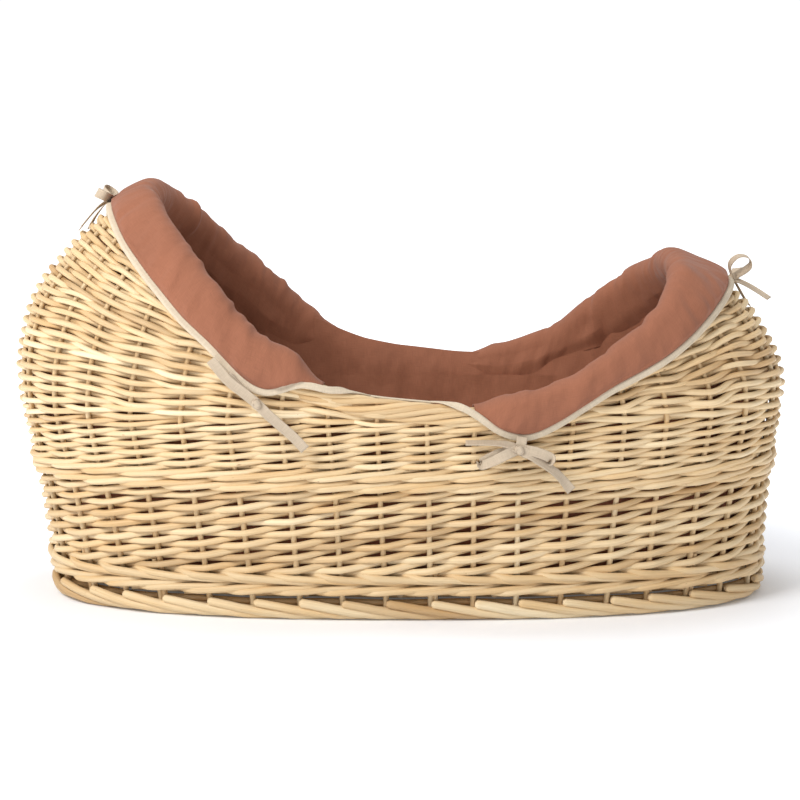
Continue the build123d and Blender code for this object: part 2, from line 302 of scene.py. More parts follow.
def make_studio():
    """White sweep, bright sky and a soft key light from the upper left."""
    scene = bpy.context.scene
    scene.view_settings.view_transform = "Standard"
    world = bpy.data.worlds.new("studio")
    scene.world = world
    world.use_nodes = True
    nodes, links = world.node_tree.nodes, world.node_tree.links
    sky = nodes["Background"]
    sky.inputs["Color"].default_value = (1, 1, 1, 1)
    sky.inputs["Strength"].default_value = SKY_LIGHT
    seen = nodes.new("ShaderNodeBackground")
    seen.inputs["Color"].default_value = (1, 1, 1, 1)
    seen.inputs["Strength"].default_value = SKY_SEEN
    path, mix = nodes.new("ShaderNodeLightPath"), nodes.new("ShaderNodeMixShader")
    links.new(path.outputs["Is Camera Ray"], mix.inputs["Fac"])
    links.new(sky.outputs[0], mix.inputs[1])
    links.new(seen.outputs[0], mix.inputs[2])
    links.new(mix.outputs[0], nodes["World Output"].inputs["Surface"])
    area_light("key", (-1.6, -1.7, 2.0), (0, 0, 0.2), size=1.3, power=62, colour=(1, 0.985, 0.96))
    area_light("top", (0.1, 0.3, 2.4), (0, 0, 0.1), size=1.1, power=17)
    bpy.ops.mesh.primitive_plane_add(size=FLOOR_SIZE)
    floor = bpy.context.object
    floor.name = "studio_floor"
    floor.data.materials.append(floor_material())


# ---------------------------------------------------------------- materials
def floor_material():
    """White floor that glows further out, so that it runs into the white background."""
    material, nodes, links, shader = new_material("studio_white")
    shader.inputs["Base Color"].default_value = FLOOR_COLOUR
    shader.inputs["Roughness"].default_value = 0.9
    shader.inputs["Emission Color"].default_value = (1, 1, 1, 1)
    place = nodes.new("ShaderNodeTexCoord").outputs["Object"]
    distance = nodes.new("ShaderNodeVectorMath")
    distance.operation = "LENGTH"
    links.new(place, distance.inputs[0])
    glow = nodes.new("ShaderNodeMapRange")
    glow.interpolation_type = "SMOOTHSTEP"
    limits = (GLOW_FROM, GLOW_TO, GLOW_NEAR, GLOW_FAR)
    for socket, value in zip(("From Min", "From Max", "To Min", "To Max"), limits):
        glow.inputs[socket].default_value = value
    links.new(distance.outputs["Value"], glow.inputs["Value"])
    links.new(glow.outputs["Result"], shader.inputs["Emission Strength"])
    return material


def new_material(name):
    """Material with its node tree's nodes and links and its shader node."""
    material = bpy.data.materials.new(name)
    material.use_nodes = True
    tree = material.node_tree
    return material, tree.nodes, tree.links, tree.nodes["Principled BSDF"]


def colour_ramp(nodes, stops):
    """Colour ramp through (place, colour) stops."""
    ramp = nodes.new("ShaderNodeValToRGB")
    while len(ramp.color_ramp.elements) < len(stops):
        ramp.color_ramp.elements.new(0.5)
    for element, (place, colour) in zip(ramp.color_ramp.elements, stops):
        element.position = place
        element.color = (*colour, 1)
    return ramp


def mixed(nodes, links, kind, factor, a, b):
    """Colour mix of two sockets or colours."""
    mix = nodes.new("ShaderNodeMix")
    mix.data_type = "RGBA"
    mix.blend_type = kind
    for socket, value in ((mix.inputs[0], factor), (mix.inputs[6], a), (mix.inputs[7], b)):
        if isinstance(value, bpy.types.NodeSocket):
            links.new(value, socket)
        else:
            socket.default_value = value
    return mix.outputs[2]


def noise(nodes, links, coordinates, stretch, detail=2):
    """Noise on a vector socket scaled by stretch."""
    mapping = nodes.new("ShaderNodeMapping")
    mapping.inputs["Scale"].default_value = stretch
    links.new(coordinates, mapping.inputs["Vector"])
    texture = nodes.new("ShaderNodeTexNoise")
    texture.inputs["Scale"].default_value = 1
    texture.inputs["Detail"].default_value = detail
    links.new(mapping.outputs["Vector"], texture.inputs["Vector"])
    return texture.outputs["Fac"]


def bump(nodes, links, height, strength, distance):
    """Bump node driven by a height socket."""
    node = nodes.new("ShaderNodeBump")
    node.inputs["Strength"].default_value = strength
    node.inputs["Distance"].default_value = distance
    links.new(height, node.inputs["Height"])
    return node


def willow_material():
    """Peeled willow: warm cream rods that differ in tone, long grain, small knots and brown flecks."""
    material, nodes, links, shader = new_material("peeled_willow")
    rod, tone, cut = (nodes.new("ShaderNodeAttribute") for _ in range(3))
    rod.attribute_name, tone.attribute_name, cut.attribute_name = "rod", "tone", "cut"
    grain = noise(nodes, links, rod.outputs["Vector"], (14, 900, 900), 4)
    patches = noise(nodes, links, rod.outputs["Vector"], (9, 60, 60))
    flecks = noise(nodes, links, rod.outputs["Vector"], (95, 420, 420))
    body = colour_ramp(nodes, [(0.0, (0.50, 0.335, 0.172)), (0.3, (0.635, 0.46, 0.26)),
                               (0.62, (0.735, 0.565, 0.343)), (1.0, (0.84, 0.70, 0.475))])
    links.new(tone.outputs["Fac"], body.inputs["Fac"])
    streaks = colour_ramp(nodes, [(0.32, (0.74, 0.68, 0.58)), (0.55, (1, 1, 1))])
    links.new(grain, streaks.inputs["Fac"])
    colour = mixed(nodes, links, "MULTIPLY", 0.45, body.outputs["Color"], streaks.outputs["Color"])
    warm = colour_ramp(nodes, [(0.42, (1, 1, 1)), (0.72, (0.93, 0.80, 0.62))])
    links.new(patches, warm.inputs["Fac"])
    colour = mixed(nodes, links, "MULTIPLY", 0.75, colour, warm.outputs["Color"])
    specks = colour_ramp(nodes, [(0.735, (0, 0, 0)), (0.79, (1, 1, 1))])
    links.new(flecks, specks.inputs["Fac"])
    colour = mixed(nodes, links, "MIX", specks.outputs["Color"], colour, (0.26, 0.13, 0.055, 1))
    colour = mixed(nodes, links, "MIX", cut.outputs["Fac"], colour, (0.64, 0.48, 0.30, 1))
    links.new(colour, shader.inputs["Base Color"])
    shader.inputs["Roughness"].default_value = 0.5
    shader.inputs["Specular IOR Level"].default_value = 0.35
    fibres = bump(nodes, links, grain, 0.35, 0.0006)
    links.new(fibres.outputs["Normal"], shader.inputs["Normal"])
    return material


THREAD_CONTRAST = 0.10
BLOTCH = 0.12                # how much darker the cloth's darker patches are


def cloth_material(name, colour, crumple=0.0):
    """Plain-woven cotton: uneven threads both ways, soft tone changes, crumples and a light sheen."""
    material, nodes, links, shader = new_material(name)
    cloth = nodes.new("ShaderNodeAttribute")
    cloth.attribute_name = "cloth"
    place = cloth.outputs["Vector"]
    warp = noise(nodes, links, place, (1500, 90, 1))
    weft = noise(nodes, links, place, (90, 1500, 1))
    weave = mixed(nodes, links, "MIX", 0.5, warp, weft)
    soft = noise(nodes, links, place, (11, 11, 11), 3)
    dark = tuple(c * (1 - THREAD_CONTRAST) for c in colour)
    light = tuple(min(1, c * (1 + THREAD_CONTRAST)) for c in colour)
    base = colour_ramp(nodes, [(0.36, dark), (0.64, light)])
    links.new(weave, base.inputs["Fac"])
    tone = colour_ramp(nodes, [(0.3, (1 - BLOTCH,) * 3), (0.7, (1, 1, 1))])
    links.new(soft, tone.inputs["Fac"])
    patchy = mixed(nodes, links, "MULTIPLY", 1.0, base.outputs["Color"], tone.outputs["Color"])
    links.new(patchy, shader.inputs["Base Color"])
    shader.inputs["Roughness"].default_value = 0.88
    shader.inputs["Specular IOR Level"].default_value = 0.2
    shader.inputs["Sheen Weight"].default_value = 0.08
    shader.inputs["Sheen Roughness"].default_value = 0.5
    threads = bump(nodes, links, weave, 0.3, 0.0005)
    links.new(threads.outputs["Normal"], shader.inputs["Normal"])
    if crumple:
        wrinkles = noise(nodes, links, place, (25, 14, 1))
        crumples = bump(nodes, links, wrinkles, 0.7, crumple)
        links.new(crumples.outputs["Normal"], threads.inputs["Normal"])
    return material


# ---------------------------------------------------------------- meshes
def make_object(name, verts, faces, material, attributes):
    """Mesh object from vertices and faces, where faces is a list of index arrays of one width each."""
    mesh = bpy.data.meshes.new(name)
    groups = [np.asarray(f, np.int32) for f in faces if len(f)]
    loops = np.concatenate([g.ravel() for g in groups])
    totals = np.concatenate([np.full(len(g), g.shape[1]) for g in groups]).astype(np.int32)
    mesh.vertices.add(len(verts))
    mesh.vertices.foreach_set("co", np.asarray(verts, np.float32).ravel())
    mesh.loops.add(len(loops))
    mesh.loops.foreach_set("vertex_index", loops)
    mesh.polygons.add(len(totals))
    mesh.polygons.foreach_set("loop_start", np.concatenate(([0], np.cumsum(totals)[:-1])).astype(np.int32))
    mesh.polygons.foreach_set("use_smooth", np.full(len(totals), True))
    for key, values in attributes.items():
        values = np.asarray(values, np.float32)
        kind = "FLOAT_VECTOR" if values.ndim == 2 else "FLOAT"
        layer = mesh.attributes.new(key, kind, "POINT")
        layer.data.foreach_set("vector" if values.ndim == 2 else "value", values.ravel())
    mesh.update(calc_edges=True)
    mesh.validate()
    mesh.materials.append(material)
    thing = bpy.data.objects.new(name, mesh)
    bpy.context.scene.collection.objects.link(thing)
    return thing


def put(piece, slot, *nodes, body="basket"):
    """Put a piece on its body, in place of its CAD nodes where it has any."""
    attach(piece, body)
    if nodes:
        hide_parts(*nodes)
    return piece


class Rods:
    """Willow rods gathered into one mesh, each with its own tone and grain."""

    def __init__(self):
        self.verts, self.quads, self.ends = [], [], []
        self.rod, self.tone, self.cut = [], [], []
        self.count = 0

    def add(self, path, radius, facing, sides=SIDES, tone=None, closed=False):
        """A round rod along a path, with facing as a rough outward direction at each point."""
        path = np.asarray(path, float)
        n = len(path)
        radius = np.broadcast_to(radius, n)
        if closed:
            tangent = unit(np.roll(path, -1, 0) - np.roll(path, 1, 0))
        else:
            tangent = unit(np.gradient(path, axis=0))
        out = unit(facing - (facing * tangent).sum(-1, keepdims=True) * tangent)
        over = np.cross(tangent, out)
        turn = turns(sides)
        ring = out[:, None] * np.cos(turn)[None, :, None] + over[:, None] * np.sin(turn)[None, :, None]
        verts = path[:, None] + ring * radius[:, None, None]
        start = rng.uniform(0, 40, 3)
        grain = np.zeros((n, sides, 3))
        grain[..., 0] = lengths(path)[:, None] + start[0]
        grain[..., 1] = radius[:, None] * np.cos(turn) + start[1]
        grain[..., 2] = radius[:, None] * np.sin(turn) + start[2]
        if tone is None:
            tone = np.clip(rng.normal(0.55, 0.2), 0.02, 0.98)
        first = self.count
        rows = n if closed else n - 1
        i = np.arange(rows)[:, None]
        j = np.arange(sides)[None, :]
        k, m = (i + 1) % n, (j + 1) % sides
        quads = np.stack([i * sides + j, k * sides + j, k * sides + m, i * sides + m], -1).reshape(-1, 4)
        self.quads.append(quads + first)
        self.verts.append(verts.reshape(-1, 3))
        self.rod.append(grain.reshape(-1, 3))
        self.tone.append(np.full(n * sides, tone))
        self.cut.append(np.zeros(n * sides))
        self.count += n * sides
        if not closed:
            self.cap(verts[0], grain[0], tone, turned=False)
            self.cap(verts[-1], grain[-1], tone, turned=True)

    def cap(self, ring, grain, tone, turned):
        """Flat cut end of a rod."""
        sides = len(ring)
        order = np.arange(sides) if turned else np.arange(sides)[::-1]
        self.ends.append((order + self.count)[None])
        self.verts.append(ring)
        self.rod.append(grain)
        self.tone.append(np.full(sides, tone))
        self.cut.append(np.ones(sides))
        self.count += sides

    def build(self, name, *nodes):
        """All the rods as one piece in place of the named CAD nodes."""
        by_width = {}
        for end in self.ends:
            by_width.setdefault(end.shape[1], []).append(end)
        faces = [np.concatenate(self.quads)] + [np.concatenate(ends) for ends in by_width.values()]
        looks = {"rod": self.rod, "tone": self.tone, "cut": self.cut}
        thing = make_object(name, np.concatenate(self.verts), faces, MATERIALS["willow"],
                            {key: np.concatenate(values) for key, values in looks.items()})
        put(thing, "wicker", *nodes)


# ---------------------------------------------------------------- woven walls
def stakes():
    """The upright stakes, from the foot border to the rim, with a few short by-stakes beside them."""
    rods = Rods()
    ends = wall_end(np.arange(STAKES), RIM)
    for i in range(STAKES):
        z = np.linspace(0.006, ends[i] - 0.006, 44)
        taper = np.linspace(1.08, 0.86, len(z))
        offset = steady(len(z), 0.0003, 8)
        points, normals = on_wall(i + steady(len(z), 0.012, 7), z, offset)
        rods.add(points, STAKE_RADIUS * taper, normals, sides=10)
    for i in rng.choice(STAKES, BY_STAKES, replace=False):
        z = np.linspace(0.006, WALE_TOP + rng.uniform(0.006, 0.016), 10)
        side = rng.choice([-1, 1]) * BY_STAKE_GAP
        points, normals = on_wall(i + side, z, 0.0)
        rods.add(points, STAKE_RADIUS * 0.9, normals)
    rods.build("side_stakes_willow", "side_stakes")


def swing(s):
    """From 1 at even stakes to -1 at odd ones, nearly straight between them as a stiff rod is."""
    stiff = 0.95
    return np.arcsin(stiff * np.cos(np.pi * s)) / np.arcsin(stiff)


def french_rand(name, node, low, high, spans, radius):
    """Rods that start one stake after another and climb, each in front of one stake and behind the next."""
    rods = Rods()
    step = (high - low) / spans
    reach = STAKE_RADIUS + radius - PRESSED - 0.0002
    for j in range(STAKES):
        s = np.arange(-4, spans * SAMPLES + 5) / SAMPLES
        z = low + step * s + steady(len(s), 0.0006, spans + 1)
        taper = np.linspace(1.07, 0.90, len(s)) * rng.normal(1, 0.05)
        offset = -reach * swing(s) + steady(len(s), 0.0003, spans * 2)
        points, normals = on_wall(j + s, z, offset)
        rods.add(points, radius * taper, normals)
    rods.build(name, node)


def wale(name, node, rows, radius):
    """Three-rod waling: each rod passes in front of two stakes and behind the third.

    Each row is its middle height, how far its rods climb and whether they climb (1) or fall (-1).
    """
    rods = Rods()
    reach = STAKE_RADIUS + radius
    for middle, lift, direction in rows:
        for j in range(3):
            s = np.arange(0, STAKES * SAMPLES + 1) / SAMPLES
            phase = np.mod((s + 0.5) / 3, 1)
            from_back = np.abs(np.mod(phase - 1 / 3, 1) - 0.5)
            behind = smoothstep(from_back / 0.30)
            climb = np.where(phase < 2 / 3, phase * 1.5, (1 - phase) * 3)
            z = middle + direction * lift * (climb - 0.5) + steady(len(s), 0.0004, 60)
            offset = reach * (2 * behind - 1) + 0.0022 * (1 - 2 * climb) * behind
            points, normals = on_wall(j + s, z, offset)
            rods.add(points, radius * rng.normal(1, 0.04), normals, tone=rng.uniform(0.42, 0.66))
    rods.build(name, node)


def hood_rows(s, z, low, fan_x, pitch):
    """Height of every row at stake coordinates s, and the share of full thickness that each has there.

    All row planes meet in the line at fan_x. Where the fan narrows, rows give up their room in pairs.
    """
    points, _ = on_wall(s[:, None], z[None, :])
    length = np.zeros(points.shape[:2])
    length[:, 1:] = np.cumsum(np.linalg.norm(np.diff(points, axis=1), axis=2), axis=1)
    away = np.maximum(np.abs(points[..., 0] - fan_x), 0.004)
    tilt = np.maximum.accumulate(np.arctan2(z - WALL_TOP, away), axis=1)
    middle = len(s) // 2
    count = int(np.interp(low[middle], z, length[middle]) / pitch) + 2
    nominal = np.interp((np.arange(count + 1) + 0.5) * pitch, length[middle], tilt[middle])
    reached = np.stack([np.interp(nominal, one, run) for one, run in zip(tilt, length)])
    room = np.diff(reached, axis=1) / pitch
    rank = np.mod(np.arange(count) // 2 * GOLDEN + 0.2, 1) * 0.9
    weight = smoothstep((room - rank) / 0.16 + 0.5)
    total = np.cumsum(weight, axis=1)
    place = reached[:, -1:] * (total - weight / 2) / np.maximum(total[:, -1:], 1e-6)
    return np.stack([np.interp(up, run, z) for up, run in zip(place, length)], -1), weight.T


def run_round(flags, middle):
    """First and last index of the unbroken run of true flags round the middle one."""
    first = middle + 1 - int(np.argmin(np.append(flags[middle::-1], False)))
    last = middle - 1 + int(np.argmin(np.append(flags[middle:], False)))
    return first, last


def hood(name, node, centre, fan_x, pitch, radius):
    """Rows that fan up round the stake coordinate centre, level below and tilted like the rim above."""
    rods = Rods()
    reach = STAKE_RADIUS + radius - PRESSED
    q = np.arange(-HOOD_SAMPLES, HOOD_SAMPLES + 1) / SAMPLES
    s = q + centre
    z = np.linspace(WALL_TOP, POD_TOP - 0.003, 170)
    low, high = wall_end(s, RIM_LOW), wall_end(s, RIM)
    middle = len(q) // 2
    for k, (row_z, weight) in enumerate(zip(*hood_rows(s, z, low, fan_x, pitch))):
        under_rim = row_z < (low * 0.35 + high * 0.65)
        fits = (weight > 0.45) & under_rim & (np.abs(q) < HOOD_STAKES)
        if not fits[middle]:
            continue
        a, b = run_round(fits, middle)
        behind = np.nonzero(np.cos(np.pi * (s + k)) < -0.999)[0]
        a = max(behind[behind <= a], default=0)
        b = min(behind[behind >= b], default=len(q) - 1)
        first, last = run_round(under_rim, middle)
        a, b = max(a - TUCK, first), min(b + TUCK, last)
        n = b + 1 - a
        run = slice(a, b + 1)
        row = row_z[run] + steady(n, 0.0005, max(3, n // 8))
        sway = swing(s[run] + k)
        from_end = np.minimum(np.arange(n), np.arange(n)[::-1])
        offset = np.where((sway < -0.5) & (from_end < TUCK), -reach, reach * sway)
        path, normals = on_wall(s[run], row, offset + steady(n, 0.0003, max(3, n // 5)))
        size = radius * (0.80 + 0.20 * weight[run]) * rng.normal(1, 0.06)
        rods.add(path, size, normals)
    rods.build(name, node)


# Course of a border rod from its tip on: stakes passed, height, and distance out of the wall's middle
PLAIT_AROUND = [0.02, 0.30, 0.75, 1.25, 1.85, 2.5, 3.0]
PLAIT_HEIGHT = [0.0196, 0.0178, 0.0138, 0.0096, 0.0064, 0.0049, 0.0052]
PLAIT_OUT = [0.0066, 0.0074, 0.0076, 0.0068, 0.0048, 0.0002, -0.0055]
PLAIT_RADIUS = 0.0046
# Height and distance out of the hidden rods that fill the border's heart
FILLERS = [(0.0046, -0.0040), (0.0112, -0.0050), (0.0172, -0.0046), (0.0100, 0.0010), (0.0232, -0.0125),
           (0.0290, -0.0125)]
FILLER_RADIUS = 0.0036


def foot_border():
    """Plaited border: every rod starts with a rounded tip at the top and runs down under the next ones."""
    rods = Rods()
    keys = np.arange(len(PLAIT_AROUND))
    t = np.linspace(0, keys[-1], 34)
    around, height, out = (np.interp(t, keys, course) for course in (PLAIT_AROUND, PLAIT_HEIGHT, PLAIT_OUT))
    tip = np.clip(t / 0.25, 0, 1)
    for i in range(STAKES):
        start = i + rng.normal(0, 0.03)
        points, normals = on_wall(start + around, height + rng.normal(0, 0.0006), out)
        size = PLAIT_RADIUS * rng.normal(1, 0.05) * (0.55 + 0.45 * np.sqrt(1 - (1 - tip) ** 2))
        rods.add(points, size, normals, sides=10)
    ring = np.arange(0, STAKES * 6) / 6
    for z, offset in FILLERS:
        points, normals = on_wall(ring, z + 0.0006 * np.sin(ring * 2.1), offset)
        rods.add(points, FILLER_RADIUS, normals, closed=True, tone=0.0)
    rods.build("foot_border_willow", "foot_border")


def surface_frame(points):
    """Outward normals of the pod at points on or near it."""
    step = 1e-4

    def level_set(p):
        centre, half, side = pod_level(np.clip(p[:, 2], 0, POD_TOP))
        return np.abs((p[:, 0] - centre) / half) ** OUTLINE_POWER + np.abs(p[:, 1] / side) ** OUTLINE_POWER

    gradient = [level_set(points + step * e) - level_set(points - step * e) for e in np.eye(3)]
    return unit(np.stack(gradient, -1))


def mouth_curve(curve, count, low_x=None, high_x=None):
    """Points on the pod under a side-view line, front to back: a closed loop, or a stretch of it.

    low_x keeps the stretch past it round the foot end, high_x the stretch before it round the head end.
    """
    fine = np.linspace(0, len(curve) - 1, 6000)
    x = np.interp(fine, np.arange(len(curve)), curve[:, 0])
    z = np.interp(fine, np.arange(len(curve)), curve[:, 1])
    centre, half, _ = pod_level(np.minimum(z, POD_TOP))
    keep = (np.abs((x - centre) / half) < 1) & (z < POD_TOP)
    if low_x is not None:
        keep &= x >= low_x
    if high_x is not None:
        keep &= x <= high_x
    x, z = x[keep], z[keep]
    y = half_width(x, z)
    front = np.stack([x, -y, z], -1)
    back = np.stack([x, y, z], -1)
    if high_x is not None:
        loop = np.concatenate([front[::-1], back])
    elif low_x is not None:
        loop = np.concatenate([front, back[::-1]])
    else:
        loop = np.concatenate([front, back[::-1], front[:1]])
    length = lengths(loop)
    whole = low_x is None and high_x is None
    wanted = np.linspace(0, length[-1], count + 1)[:-1] if whole else np.linspace(0, length[-1], count)
    return np.stack([np.interp(wanted, length, loop[:, i]) for i in range(3)], -1)


def relaxed(points, times, closed=True):
    """Points evened out along their line."""
    for _ in range(times):
        if closed:
            points = 0.5 * points + 0.25 * (np.roll(points, 1, 0) + np.roll(points, -1, 0))
        else:
            points = points.copy()
            points[1:-1] = 0.5 * points[1:-1] + 0.25 * (points[2:] + points[:-2])
    return points


RIM_STRANDS = 8
RIM_TURNS = 9                # how often each strand winds round the rim's heart on its way round the mouth
RIM_ROD_RADIUS = 0.0032
RIM_HEART_RADIUS = 0.0040
RIM_OUT, RIM_UP = 0.0053, 0.0083        # half width and half height of the winding


def rim_border():
    """Rolled border round the mouth: long rods that wind slowly round each other."""
    rods = Rods()
    middle = relaxed(mouth_curve(line_curve(RIM_LINE, -RIM_HEIGHT / 2), 700), 30)
    normals = surface_frame(middle)
    tangent = unit(np.roll(middle, -1, 0) - np.roll(middle, 1, 0))
    up = np.cross(normals, tangent)
    share = np.arange(len(middle)) / len(middle)
    for k in range(RIM_STRANDS):
        turn = 2 * np.pi * (k / RIM_STRANDS + share * RIM_TURNS) + steady(len(share), 0.12, 40)
        radius = RIM_ROD_RADIUS * rng.normal(1, 0.05)
        out, high = RIM_OUT * np.cos(turn), RIM_UP * np.sin(turn)
        path = middle + normals * out[:, None] + up * high[:, None]
        rods.add(path, radius, normals, closed=True, tone=rng.uniform(0.2, 0.6))
    rods.add(middle, RIM_HEART_RADIUS, normals, closed=True, tone=0.0)
    rods.build("rim_border_willow", "rim_border")


CROSS_STICKS, CROSS_RADIUS = 7, 0.0040
LONG_STICKS, LONG_RADIUS = 5, 0.0025
BASE_HALF_WIDTH = 0.158
BASE_PITCH = 0.0068
BASE_ROD_RADIUS = 0.0031
BASE_SWAY = 0.0042           # most that a base rod rises over a stick


def base():
    """Oval base: split cross sticks, long sticks through them and rods woven over and under."""
    low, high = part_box("base_weave")
    level = (low.z + high.z) / 2
    edge, _ = POD.at(np.linspace(0, 1, 721), WALE_BOTTOM, -0.006)
    sticks = Rods()
    cross_low, cross_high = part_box("base_cross_sticks")
    cross_xs = np.linspace(cross_low.x + CROSS_RADIUS, cross_high.x - CROSS_RADIUS, CROSS_STICKS)
    for x in cross_xs:
        half = np.max(edge[np.abs(edge[:, 0] - x) < 0.01][:, 1])
        sticks.add(np.linspace((x, -half, level), (x, half, level), 30), CROSS_RADIUS, -UP)
    long_low, long_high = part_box("base_long_sticks")
    for y in np.linspace(long_low.y + LONG_RADIUS, long_high.y - LONG_RADIUS, LONG_STICKS):
        sticks.add(np.linspace((long_low.x, y, level), (long_high.x, y, level), 60), LONG_RADIUS, -UP)
    sticks.build("base_sticks_willow", "base_cross_sticks", "base_long_sticks")
    weave = Rods()
    spacing = cross_xs[1] - cross_xs[0]
    rise = min(BASE_SWAY, (high.z - low.z) / 2 - BASE_ROD_RADIUS + 0.0001)
    for k, y in enumerate(np.arange(-BASE_HALF_WIDTH, BASE_HALF_WIDTH + 0.001, BASE_PITCH)):
        inside = edge[np.abs(edge[:, 1] - y) < 0.004]
        x = np.linspace(inside[:, 0].min(), inside[:, 0].max(), 110)
        z = level + rise * np.cos(np.pi * ((x - cross_xs[0]) / spacing + k))
        path = np.stack([x, y + steady(len(x), 0.0004, 12), z], -1)
        weave.add(path, BASE_ROD_RADIUS, -UP)
    weave.build("base_weave_willow", "base_weave")


# ---------------------------------------------------------------- liner and cuffs
LINER_DEPTH = 0.020          # inner face of the padded liner, in from the middle of the wall
LINER_BACK = 0.0095          # its outer face
LINER_EDGE = 0.0012          # thickness of its finished top edge
LINER_SHOULDER = 0.045       # height over which it fills out below that edge
LINER_CREASE = 50            # degrees, past which its edges are shaded sharp
BROAD_FOLD, FINE_FOLD, SHARP_FOLD, SMALL_FOLD = 0.0080, 0.0040, 0.0028, 0.0010      # depths of its folds
HEAD_END = -0.078            # where the head cuff's fold stops on the rim
FOOT_END = 0.076
SEAM_X = 0.060               # seam between the linings of the two hoods
FRONT_RISE = -0.0034         # top of the liner between the cuffs, from the top of the rim
# The same along the back, as (x, rise) points in millimetres
BACK_TOP = [(-90, 23), (-60, 19), (-40, 16), (0, 13), (76, 12)]
CUFF_RISE = 0.014
# How much more the cuff stands up, as (x, extra) points in millimetres along the front and the back
HEAD_CREST = ([(-290, 4), (-205, 8), (-182, 4), (-160, -4), (-130, 3), (-105, 5), (-78, 0)],
              [(-290, 6), (-256, 16), (-226, 19), (-187, 19), (-143, 22), (-118, 16), (-94, 11), (-78, 10)])
FOOT_APEX = [(320, 9), (335, 5), (348, -2), (360, -8)]
FOOT_CREST = ([(76, 0), (120, 2), (156, 4), (196, 6), (240, 6), (280, 8), (300, 9), *FOOT_APEX],
              [(76, 1), (110, 8), (150, 12), (177, 16), (220, 20), (263, 17), (300, 11), *FOOT_APEX])
# How much higher than the CAD line the bound edge sits, as (x, extra) points in millimetres
HEAD_EDGE_LIFT = [(-330, 7), (-200, 7), (-150, 1), (-78, 0)]
FOOT_EDGE_LIFT = [(76, 1), (110, 2), (150, 5), (182, 8), (217, 8), (253, 6), (300, 4), (400, 2)]
CUFF_OUT = 0.0205            # outer face of a full cuff
CUFF_BACK = 0.0092           # its back, which lies on the rods
CUFF_END = 0.0026            # thickness where it runs out at its two ends
CUFF_TUCK = 0.044            # how far down inside the rim its cloth starts
CUFF_TUCK_DEPTH = 0.0165     # and how deep there
CUFF_TOP = 0.004             # below the rim, where the crest meets the inside and the flap
FLAP_EDGE = 0.0032           # thickness of the flap at its bound edge
SWELL, CRUMPLE = 0.0028, 0.0010         # broad and fine unevenness of the cuff's padding
PUCKER = 0.0018              # depth of the puckers that the binding pulls into the flap
CREST_DENT = 0.0034          # depth of the dents along the crest
CREASES, CREASE_DEPTH = 9, 0.0020       # creases across the crest


def lattice_noise(u, v, seed, wrap=None):
    """Smooth value noise between -1 and 1 on a unit lattice; u may repeat after a whole number of cells."""
    table = np.random.default_rng(seed).uniform(-1, 1, (64, 64))
    i, j = np.floor(u).astype(int), np.floor(v).astype(int)
    a, b = smoothstep(u - i), smoothstep(v - j)
    period = wrap or 64

    def at(di, dj):
        return table[np.mod(i + di, period) % 64, np.mod(j + dj, 64)]

    low = at(0, 0) * (1 - a) + at(1, 0) * a
    high = at(0, 1) * (1 - a) + at(1, 1) * a
    return low * (1 - b) + high * b


def liner_folds(share, z):
    """How far the liner's inner face sags inwards: soft upright folds, deeper lower down."""
    lean = share * 40 + 2.5 * z
    broad = smoothstep(lattice_noise(lean * 0.8, z / 0.13, 11, 32))
    fine = smoothstep(lattice_noise(lean * 1.5, z / 0.10 + 7, 12, 60))
    small = lattice_noise(lean * 3.0, z / 0.05 + 3, 13, None)
    crease = (1 - np.abs(lattice_noise(lean * 1.2 - 3 * z, z / 0.11 + 2, 14, 48))) ** 4
    depth = 0.35 + 0.65 * smoothstep((z - 0.04) / 0.10)
    return depth * (BROAD_FOLD * broad + FINE_FOLD * fine + SHARP_FOLD * crease) + SMALL_FOLD * small


def share_of(points):
    """Share of the way round of points on the pod."""
    rows = np.clip(points[:, 2] / POD_TOP * (len(POD.heights) - 1), 0, len(POD.heights) - 1.001)
    low = rows.astype(int)
    t = (rows - low)[:, None, None]
    outline = POD.points[low, :, :2] * (1 - t) + POD.points[low + 1, :, :2] * t
    start, end = outline[:, :-1], outline[:, 1:]
    run = end - start
    along = ((points[:, None, :2] - start) * run).sum(-1) / np.maximum((run ** 2).sum(-1), 1e-12)
    along = np.clip(along, 0, 1)
    gap = np.linalg.norm(start + run * along[..., None] - points[:, None, :2], axis=2)
    best = gap.argmin(axis=1)
    return (best + along[np.arange(len(points)), best]) / (len(POD.shares) - 1)


def unwrapped(share):
    """The same shares without the jump from 1 back to 0."""
    return np.unwrap(share * 2 * np.pi) / (2 * np.pi)


def grid_mesh(name, grid, material, closed_u=False, crease=None):
    """Mesh over a grid of closed sections, which are joined in a loop where closed_u, else capped."""
    n, m = grid.shape[:2]
    i = np.arange(n if closed_u else n - 1)[:, None]
    j = np.arange(m)[None, :]
    k, o = (i + 1) % n, (j + 1) % m
    faces = [np.stack([i * m + j, k * m + j, k * m + o, i * m + o], -1).reshape(-1, 4)]
    if not closed_u:
        faces.append(np.stack([np.arange(m), np.arange(m)[::-1] + (n - 1) * m]))
    thing = make_object(name, grid.reshape(-1, 3), faces, material, {"cloth": cloth_places(grid)})
    if crease:
        thing.data.set_sharp_from_angle(angle=np.radians(crease))
    return thing


def cloth_places(grid):
    """Distances along and across the cloth, in metres, for its threads."""
    places = np.zeros(grid.shape)
    along = np.linalg.norm(np.diff(grid, axis=0), axis=2).mean(axis=1)
    places[1:, :, 0] = np.cumsum(along)[:, None]
    places[:, 1:, 1] = np.cumsum(np.linalg.norm(np.diff(grid, axis=1), axis=2), axis=1)
    return places.reshape(-1, 3)


def outward(grid):
    """Normals of a grid of closed sections."""
    along = np.gradient(grid, axis=0)
    round_it = np.roll(grid, -1, 1) - np.roll(grid, 1, 1)
    return unit(np.cross(round_it, along))


